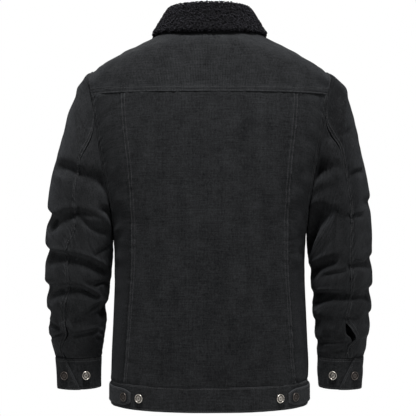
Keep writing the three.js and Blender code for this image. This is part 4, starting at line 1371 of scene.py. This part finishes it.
# %% Cuffs
CUFF_START, CUFF_LAP, CUFF_SLANT, CUFF_LIFTS, CUFF_LIFT_SOFT = 44.0, 38.0, 18.0, 330.0, 26.0
CUFF_SECOND_ROW, CUFF_END_ROW, SLANTED_FROM = 6.4, 3.0, 0.8
u = closer_at_ends(200, 270, 6, 6)
v = closer_at_ends(34, CUFF_SEAM - CUFF_HEM, 6, 7)
slant = CUFF_SLANT * (1 - 2 * v) * np.clip((u[:, None] - SLANTED_FROM) / 0.2, 0, 1)
turned = (360 + CUFF_LAP) * u[:, None] + slant
height = mix(CUFF_HEM, CUFF_SEAM - SEAM_GAP / 2, v) + 0 * turned
lifted = smooth((turned - CUFF_LIFTS) / CUFF_LIFT_SOFT) * (BAND + LAYER_GAP + 0.4)
run, rest, low, high = margins(cuff_point(CUFF_START + turned, height, 0 * turned)[0])
wear = 0.6 * fade(low, 1.6) + 0.5 * fade(high - 6, 1.6) + 0.4 * fade(rest, 1.6)
for side, seed in (("left", 190), ("right", 180)):
    relief = (-0.8 * np.minimum(fade(np.minimum(low, high), 0.9) + fade(rest, 0.9), 1)
              - 0.4 * fade(high - HIGH_ROW, 0.9) - 0.35 * fade(high - CUFF_SECOND_ROW, 0.9)
              - 0.4 * fade(low - LOW_ROW, 0.9) - 0.35 * fade(rest - CUFF_END_ROW, 0.9)
              + 0.3 * waves(seed, run, low * 0.4, 15) + 0.5 * waves(seed + 1, run, low, 48))
    sew(f"cuff_{side}_cloth", f"cuff_{side}",
        cuff_point(CUFF_START + turned, height, relief + lifted),
        (BAND_WALL, LEVEL_CORD, np.stack([run, low], axis=-1), wear),
        f"cuff_sewing_{side}",
        [(high, HIGH_ROW, 1), (high, CUFF_SECOND_ROW, 1), (low, LOW_ROW, 1),
         (rest, CUFF_END_ROW, 0, slice(8, -8))], side == "right")

# %% [markdown]
# ## The sherpa collar
# The collar is one long strip of pile, folded over: a stand round the neck, a rounded fold,
# and a fall that spreads over the yoke. Hair particles would give its softness but not its
# curls, which are what the eye reads as sherpa. So a padded strip carries some thousands of
# short curled tufts, each a bent tube with its own turn, size and tilt.

# %% The collar's folded strip
COLLAR_SECTION = np.array([(-1, 0.6), (-5, 17), (-11, 32), (-7, 37), (-1, 32), (9, 16)], float)
COLLAR_END, COLLAR_SHRUNK, COLLAR_TIP_LIGHT = -85.0, 2.4, 0.15       # the curls fill it out again
COLLAR_COLUMNS, FACE_ROWS, DEGREE = 250, 60, 1.5                # a degree in millimetres, about
EDGE_SIDE, EDGE_BACK, EDGE_CORNER, EDGE_END = (23, -7), (33, -14), (36, -12), (30, -22)


def collar_edge(angle):
    """How far out and down the fall's edge lies, round the collar"""
    near = np.where(angle > 90, 180 - angle, angle)

    def between(start, end, first, last):
        return mix(np.array(first, float), np.array(last, float),
                   smooth((near - start) / (end - start))[..., None])

    behind = between(0, 90, EDGE_SIDE, EDGE_BACK)
    beside = between(0, -45, EDGE_SIDE, EDGE_CORNER)
    before = between(-45, -84, EDGE_CORNER, EDGE_END)
    return np.where((near > 0)[..., None], behind,
                    np.where((near > -45)[..., None], beside, before))


def collar_section(angle, v):
    """The strip's middle line and its direction, out from the neck and up"""
    shape = np.broadcast_to(COLLAR_SECTION, (*angle.shape, *COLLAR_SECTION.shape))
    knots = np.concatenate([shape, collar_edge(angle)[..., None, :]], axis=-2)
    last = knots.shape[-2] - 1
    place = np.clip(v, 0, 1) * last
    i = np.minimum(np.floor(place).astype(int), last - 1)
    t = (place - i)[..., None]

    def knot(k):
        k = np.clip(k, 0, last)[..., None, None]
        return np.take_along_axis(knots, np.broadcast_to(k, (*k.shape[:-1], 2)), -2)[..., 0, :]

    p0, p1, p2, p3 = knot(i - 1), knot(i), knot(i + 1), knot(i + 2)
    v0, v1 = (p2 - p0) / 2, (p3 - p1) / 2
    a, b = 2 * p1 - 2 * p2 + v0 + v1, -3 * p1 + 3 * p2 - 2 * v0 - v1
    return a * t ** 3 + b * t ** 2 + v0 * t + p1, unit(3 * a * t ** 2 + 2 * b * t + v0)


def collar_surface(angle, lap):
    """lap: 0 to 1 the shown face, to 2 round the edge, to 3 the hidden face, to 4 the foot"""
    part = np.minimum(np.floor(lap).astype(int), 3)
    share = lap - part
    v = np.select([part == 0, part == 1, part == 2], [share, 1 + 0 * share, 1 - share], 0)
    middle, along = collar_section(angle, v)
    across = np.stack([-along[..., 1], along[..., 0]], axis=-1)
    bend = np.select([part == 0, part == 1, part == 2],
                     [0 * share, share * math.pi, 0 * share + math.pi],
                     math.pi + share * math.pi)[..., None]
    off = across * np.cos(bend) + along * np.sin(bend)
    from_end = np.minimum(angle - COLLAR_END, 180 - COLLAR_END - angle) * DEGREE
    swell = np.sqrt(1 - (1 - np.clip(from_end / 6, 0, 1)) ** 2)
    half = PILE / 2 * np.maximum(swell, 0.05)[..., None]
    flat = neck_point(angle + 1) - neck_point(angle - 1)
    outward = unit(points(flat[..., 1], -flat[..., 0], 0 * angle))
    place = middle + off * half
    grid = neck_point(angle) + outward * place[..., :1]
    grid[..., 2] += place[..., 1]
    normal = outward * off[..., :1]
    normal[..., 2] += off[..., 1]
    return grid, unit(normal)


angles = np.linspace(COLLAR_END, 180 - COLLAR_END, COLLAR_COLUMNS)
laps = np.concatenate([np.linspace(0, 1, FACE_ROWS), np.linspace(1, 2, 9)[1:],
                       np.linspace(2, 3, 30)[1:], np.linspace(3, 4, 7)[1:-1]])
angle, lap = np.meshgrid(angles, laps, indexing="ij")
form, outward = collar_surface(angle, lap)
reach = run_along(form, 1)
round_neck = angle * DEGREE
clumps = waves(201, round_neck, reach, 9, 9) * 0.7 + waves(202, round_neck, reach, 5, 9) * 0.4
collar_outer = form + outward * (clumps - COLLAR_SHRUNK)[..., None]
columns, rows = collar_outer.shape[:2]
i, j = np.meshgrid(np.arange(columns - 1), np.arange(rows), indexing="ij")
a, b = (i * rows + j).ravel(), (i * rows + (j + 1) % rows).ravel()
faces = np.stack([a, b, b + rows, a + rows], axis=1).tolist()
faces += [list(range(rows)), list(range((columns - 1) * rows, columns * rows))[::-1]]
collar = make_mesh("sherpa_collar", collar_outer.reshape(-1, 3), faces, [pile],
                   uv=np.stack([round_neck, reach], axis=-1).reshape(-1, 2))
# the strip gets a low, even share of the painted highlight that the curl tips get
store_wear_and_painted_light(collar, COLLAR_TIP_LIGHT + 0 * angle)
print("collar strip", len(collar.data.polygons), "faces")

# %% Curls
CURL_PITCH, CURL_TOP = 4.9, 3.2         # millimetres apart, and high above the strip
CURL_RINGS, CURL_SIDES = 7, 4
CURL_RADIUS, CURL_THICK, CURL_SWEEP = (1.4, 2.7), (0.7, 1.2), (3.6, 5.8)        # least, most


def curl_places(rng):
    """Scattered places over the shown face and round the fall's edge"""
    found = []
    fine_laps = np.linspace(0.06, 1.75, 400)
    for middle in np.arange(COLLAR_END + 1, 180 - COLLAR_END - 1, CURL_PITCH * 0.62):
        run = run_along(collar_surface(middle + 0 * fine_laps, fine_laps)[0], 0)
        at = np.arange(rng.uniform(0, CURL_PITCH), run[-1], CURL_PITCH)
        at = np.clip(at + rng.uniform(-1.6, 1.6, len(at)), 0, run[-1])
        laps_here = np.interp(at, run, fine_laps)
        found.append(np.stack([middle + rng.uniform(-1.3, 1.3, len(at)), laps_here], axis=-1))
    return np.concatenate(found)


rng = np.random.default_rng(205)
places = curl_places(rng)
centre, up = collar_surface(np.clip(places[:, 0], COLLAR_END + 0.5, 179.5 - COLLAR_END),
                            places[:, 1])
number = len(centre)
random_way = rng.normal(size=(number, 3))
side = unit(np.cross(up, random_way))
lean = rng.uniform(-0.55, 0.55, (number, 1))
across = unit(np.cross(up, side) + up * lean)
radius = rng.uniform(*CURL_RADIUS, number)[:, None]
thick = rng.uniform(*CURL_THICK, number)[:, None]
sweep = rng.uniform(*CURL_SWEEP, number)[:, None]
opening = rng.uniform(0, 2 * math.pi, number)[:, None]
t = np.linspace(0, 1, CURL_RINGS)[None, :]
bow = opening + sweep * t
circle = radius * (1 - 0.35 * t)
lift = -0.9 + 1.5 * np.sin(math.pi * t) * rng.uniform(0.4, 1.0, (number, 1)) - 1.3 * t ** 3
spine = (centre[:, None] + side[:, None] * (circle * np.cos(bow))[..., None]
         + across[:, None] * (circle * np.sin(bow))[..., None] + up[:, None] * lift[..., None])
flow = unit(np.gradient(spine, axis=1))
over = unit(np.cross(flow, up[:, None] + 0.01))
lofty = np.cross(over, flow)
tube = thick * np.sqrt(np.sin(math.pi * (0.1 + 0.8 * t)))
rings = []
for k in range(CURL_SIDES):
    c, s = turn(360 * k / CURL_SIDES + 45)
    rings.append(spine + (over * c + lofty * s) * tube[..., None])
vertices = np.stack(rings, axis=2).reshape(-1, 3)
n, r, k = np.meshgrid(np.arange(number), np.arange(CURL_RINGS - 1), np.arange(CURL_SIDES),
                      indexing="ij")
corner = (n * CURL_RINGS + r) * CURL_SIDES
a, b = (corner + k).ravel(), (corner + (k + 1) % CURL_SIDES).ravel()
faces = np.stack([a, b, b + CURL_SIDES, a + CURL_SIDES], axis=1)
ends = np.arange(number)[:, None] * CURL_RINGS * CURL_SIDES + np.arange(CURL_SIDES)
faces = np.concatenate([faces, ends[:, ::-1], ends + (CURL_RINGS - 1) * CURL_SIDES])
curls = make_mesh("sherpa_curls", vertices, faces, [pile])
# a curl is painted paler the higher it stands: a painted highlight on its tip
height = np.einsum("nrkx,nx->nrk", vertices.reshape(number, CURL_RINGS, CURL_SIDES, 3)
                   - centre[:, None, None], up)
store_wear_and_painted_light(curls, np.clip(height / CURL_TOP, 0, 1))
for piece in (collar, curls):
    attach(piece, "root")
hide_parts("collar")
shown = run_along(collar_surface(0 * laps + 90, laps)[0], 0)

# %% [markdown]
# ## Buttons
# A jeans button is a pressed cap over a tack: a rolled rim, a sunk ring with small beads in
# it, and a low dome in the middle. It is turned, so a profile spun round an axis makes it;
# the beads come from lifting every other point of one ring. The height of the profile also
# tells the metal where it is worn bright.

# %% A turned button
BUTTON_SPOKES, BEADS, BEAD_LIFT = 72, 18, 0.28
BUTTON_PROFILE = [          # radius, height and wear, from the tack over the rim to the middle
    (0, 0, 0), (3.0, 0, 0), (5.6, 0.1, 0), (7.3, 0.8, 0.2), (7.9, 1.5, 0.5), (8.0, 2.1, 0.8),
    (7.8, 2.8, 1), (7.4, 3.25, 1), (6.9, 3.4, 1), (6.45, 3.2, 0.8), (6.2, 2.7, 0.2),
    (5.9, 2.35, 0), (5.3, 2.3, 0), (4.7, 2.35, 0.1), (4.3, 2.7, 0.5), (3.8, 2.9, 0.8),
    (3.0, 3.0, 0.9), (1.9, 3.05, 0.8), (1.1, 2.85, 0.4), (0.6, 2.6, 0.1), (0, 2.55, 0.1)]
BEADED = (11, 12, 13)
METALS = {"bronze_button": bronze, "nickel_button": nickel}


def turned_button(name, node, slot, place, facing):
    """place is the middle of the button's back in millimetres, facing its outward way"""
    spokes = np.linspace(0, 360, BUTTON_SPOKES, endpoint=False)
    c, s = turn(spokes)
    profile = np.array(BUTTON_PROFILE, float)
    radius, tall = profile[:, 0][:, None], profile[:, 1][:, None] + 0 * c
    for row in BEADED:
        tall[row] += BEAD_LIFT * np.maximum(np.cos(np.radians(spokes * BEADS)), 0)
    up = unit(np.asarray(facing, float))
    side = unit(np.cross(np.array([0.0, 0, 1]), up))
    over = np.cross(up, side)
    grid = (place + (radius * c)[..., None] * side + (radius * s)[..., None] * over
            + tall[..., None] * up)
    rings = grid[1:-1]
    vertices = np.concatenate([grid[:1, 0], rings.reshape(-1, 3), grid[-1:, 0]])
    count, last = BUTTON_SPOKES, len(vertices) - 1
    i, j = np.meshgrid(np.arange(len(rings) - 1), np.arange(count), indexing="ij")
    a, b = (1 + i * count + j).ravel(), (1 + i * count + (j + 1) % count).ravel()
    quads = np.stack([a, b, b + count, a + count], axis=1).tolist()
    spoke = np.arange(count)
    following = (spoke + 1) % count
    back = [[0, 1 + int(q), 1 + int(p)] for p, q in zip(spoke, following)]
    top = 1 + (len(rings) - 1) * count
    front = [[last, top + int(p), top + int(q)] for p, q in zip(spoke, following)]
    button = make_mesh(name, vertices, quads + back + front, [METALS[slot]])
    store_wear_and_painted_light(button, np.concatenate([profile[:1, 2], np.repeat(profile[1:-1, 2], count),
                                       profile[-1:, 2]]))
    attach(button, "root")
    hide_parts(node)


def body_button(name, node, slot, angle, level, clear, flip=1):
    """A button held clear of the body's surface, or its mirror image"""
    angle, level = np.array(float(angle)), np.array(float(level))
    facing = body_normal(angle, level)
    place = body_point(angle, level) + facing * clear
    turned_button(name, node, slot, place * flip, facing * flip)


# %% Buttons at the waist, on the cuffs and down the front
WAIST_BUTTON_Z, TAB_BUTTON_X, BAND_BUTTON_X = -665.5, 149.0, 123.5
CUFF_BUTTON_Z = (CUFF_HEM + CUFF_SEAM) / 2 - 3.0
CUFF_BUTTONS = [            # angle round the wrist, and how far its cloth is lifted
    ("lap", 64.0, "bronze_button", BAND + LAYER_GAP + 0.3), ("far", 114.0, "nickel_button", 0.0)]
waist_level = WAIST_BUTTON_Z - YOKE_SEAM
for side, flip in (("left", 1), ("right", MIRROR)):
    on_tab = angle_at_x(np.array(WAIST_BUTTON_Z), TAB_BUTTON_X)
    on_band = angle_at_x(np.array(WAIST_BUTTON_Z), BAND_BUTTON_X)
    body_button(f"tab_button_{side}", f"button_waist_tab_{side}", "bronze_button",
                on_tab, waist_level, CLOTH + 2 * LAYER_GAP + 0.4, flip)
    body_button(f"band_button_{side}", f"button_waist_band_{side}", "nickel_button",
                on_band, waist_level, LAYER_GAP + 0.4, flip)
    for kind, at, slot, lifted in CUFF_BUTTONS:
        place, facing = cuff_point(np.array(at), np.array(CUFF_BUTTON_Z),
                                   np.array(lifted + LAYER_GAP + 0.7))
        turned_button(f"cuff_{kind}_button_{side}", f"button_cuff_{kind}_{side}", slot,
                      place * flip, facing * flip)

FRONT_BUTTONS, FRONT_TOP, FRONT_ABOVE_WAIST = 6, -30.0, 45.0
for i in range(FRONT_BUTTONS):
    level = mix(FRONT_TOP, FLOOR_LEVEL + FRONT_ABOVE_WAIST, i / (FRONT_BUTTONS - 1))
    body_button(f"front_button_{i + 1}", f"button_front_{i + 1}", "nickel_button",
                -90, level, CLOTH + 3 * LAYER_GAP + 0.2)
body_button("waist_front_button", "button_waist_front", "nickel_button", -90,
            waist_level, BAND + 2 * LAYER_GAP + 0.6)

# %% [markdown]
# ## Floor and light
# The floor is plain and pale and lies well below, so the jacket hangs in a white room as it
# does in the photograph. One large light above the back makes the shoulders and the upper
# side of every fold the palest; a weak one low on the wearer's right keeps the undersides
# from going black, and a third shows the front. The surround is white to the camera and
# dimmer as light, which keeps the contrast.

# %% Studio
FLOOR_Z, FLOOR_SIZE, FLOOR_SIDES = -1.15, 3.2, 96
ROOM_LIGHT, ROOM_SHOWN = 0.22, 0.78     # its strength as light, and what the camera adds


def area_light(name, place, aim, size, power):
    """A round lamp in metres and watts, turned to a point"""
    light = bpy.data.lights.new(name, "AREA")
    light.shape, light.size, light.energy = "DISK", size, power
    lamp = bpy.data.objects.new(name, light)
    way = np.array(aim, float) - np.array(place, float)
    lamp.location = place
    lamp.rotation_euler = (math.acos(-way[2] / np.linalg.norm(way)), 0,
                           math.atan2(way[1], way[0]) - math.pi / 2)
    bpy.context.scene.collection.objects.link(lamp)


area_light("key_light", (0.05, 1.0, 1.85), (0, 0, -0.3), 0.6, 60)
area_light("low_light", (-1.6, 1.4, -0.2), (0, 0, -0.4), 1.2, 3)
area_light("front_light", (0.5, -1.9, 1.0), (0, 0, -0.3), 1.4, 14)

world = bpy.data.worlds.new("white_room")
world.use_nodes = True
bpy.context.scene.world = world
room = world.node_tree.nodes["Background"]
strength = Value(world.node_tree).node("ShaderNodeLightPath", output="Is Camera Ray")
world.node_tree.links.new((strength * ROOM_SHOWN + ROOM_LIGHT).socket,
                          room.inputs["Strength"])
room.inputs["Color"].default_value = (1, 1, 1, 1)

paper, paper_shader, start = new_finish("pale_floor", {"Specular IOR Level": 0.2})
grain = start.noise(start.place(), 300.0)
feed(paper, paper_shader, colour=grain.between((0.80, 0.80, 0.79), (0.84, 0.84, 0.83)),
     rough=0.9 + grain * 0.05)
c, s = turn(np.linspace(0, 360, FLOOR_SIDES, endpoint=False))
disc = points(c, s, 0) * FLOOR_SIZE / 2 / MM
disc[:, 2] = FLOOR_Z / MM
floor = make_mesh("floor", disc, np.arange(FLOOR_SIDES)[None, :], [paper])

# %% [markdown]
# ## Triangles shown
# The triangles of every shown mesh are counted. The dressed jacket has to stay the size of
# its solids, but for a little cloth that stands proud.

# %% Triangle count
triangles = sum(len(face.vertices) - 2 for item in bpy.data.objects
                if item.type == "MESH" and not item.hide_render for face in item.data.polygons)
print("triangles shown:", triangles)
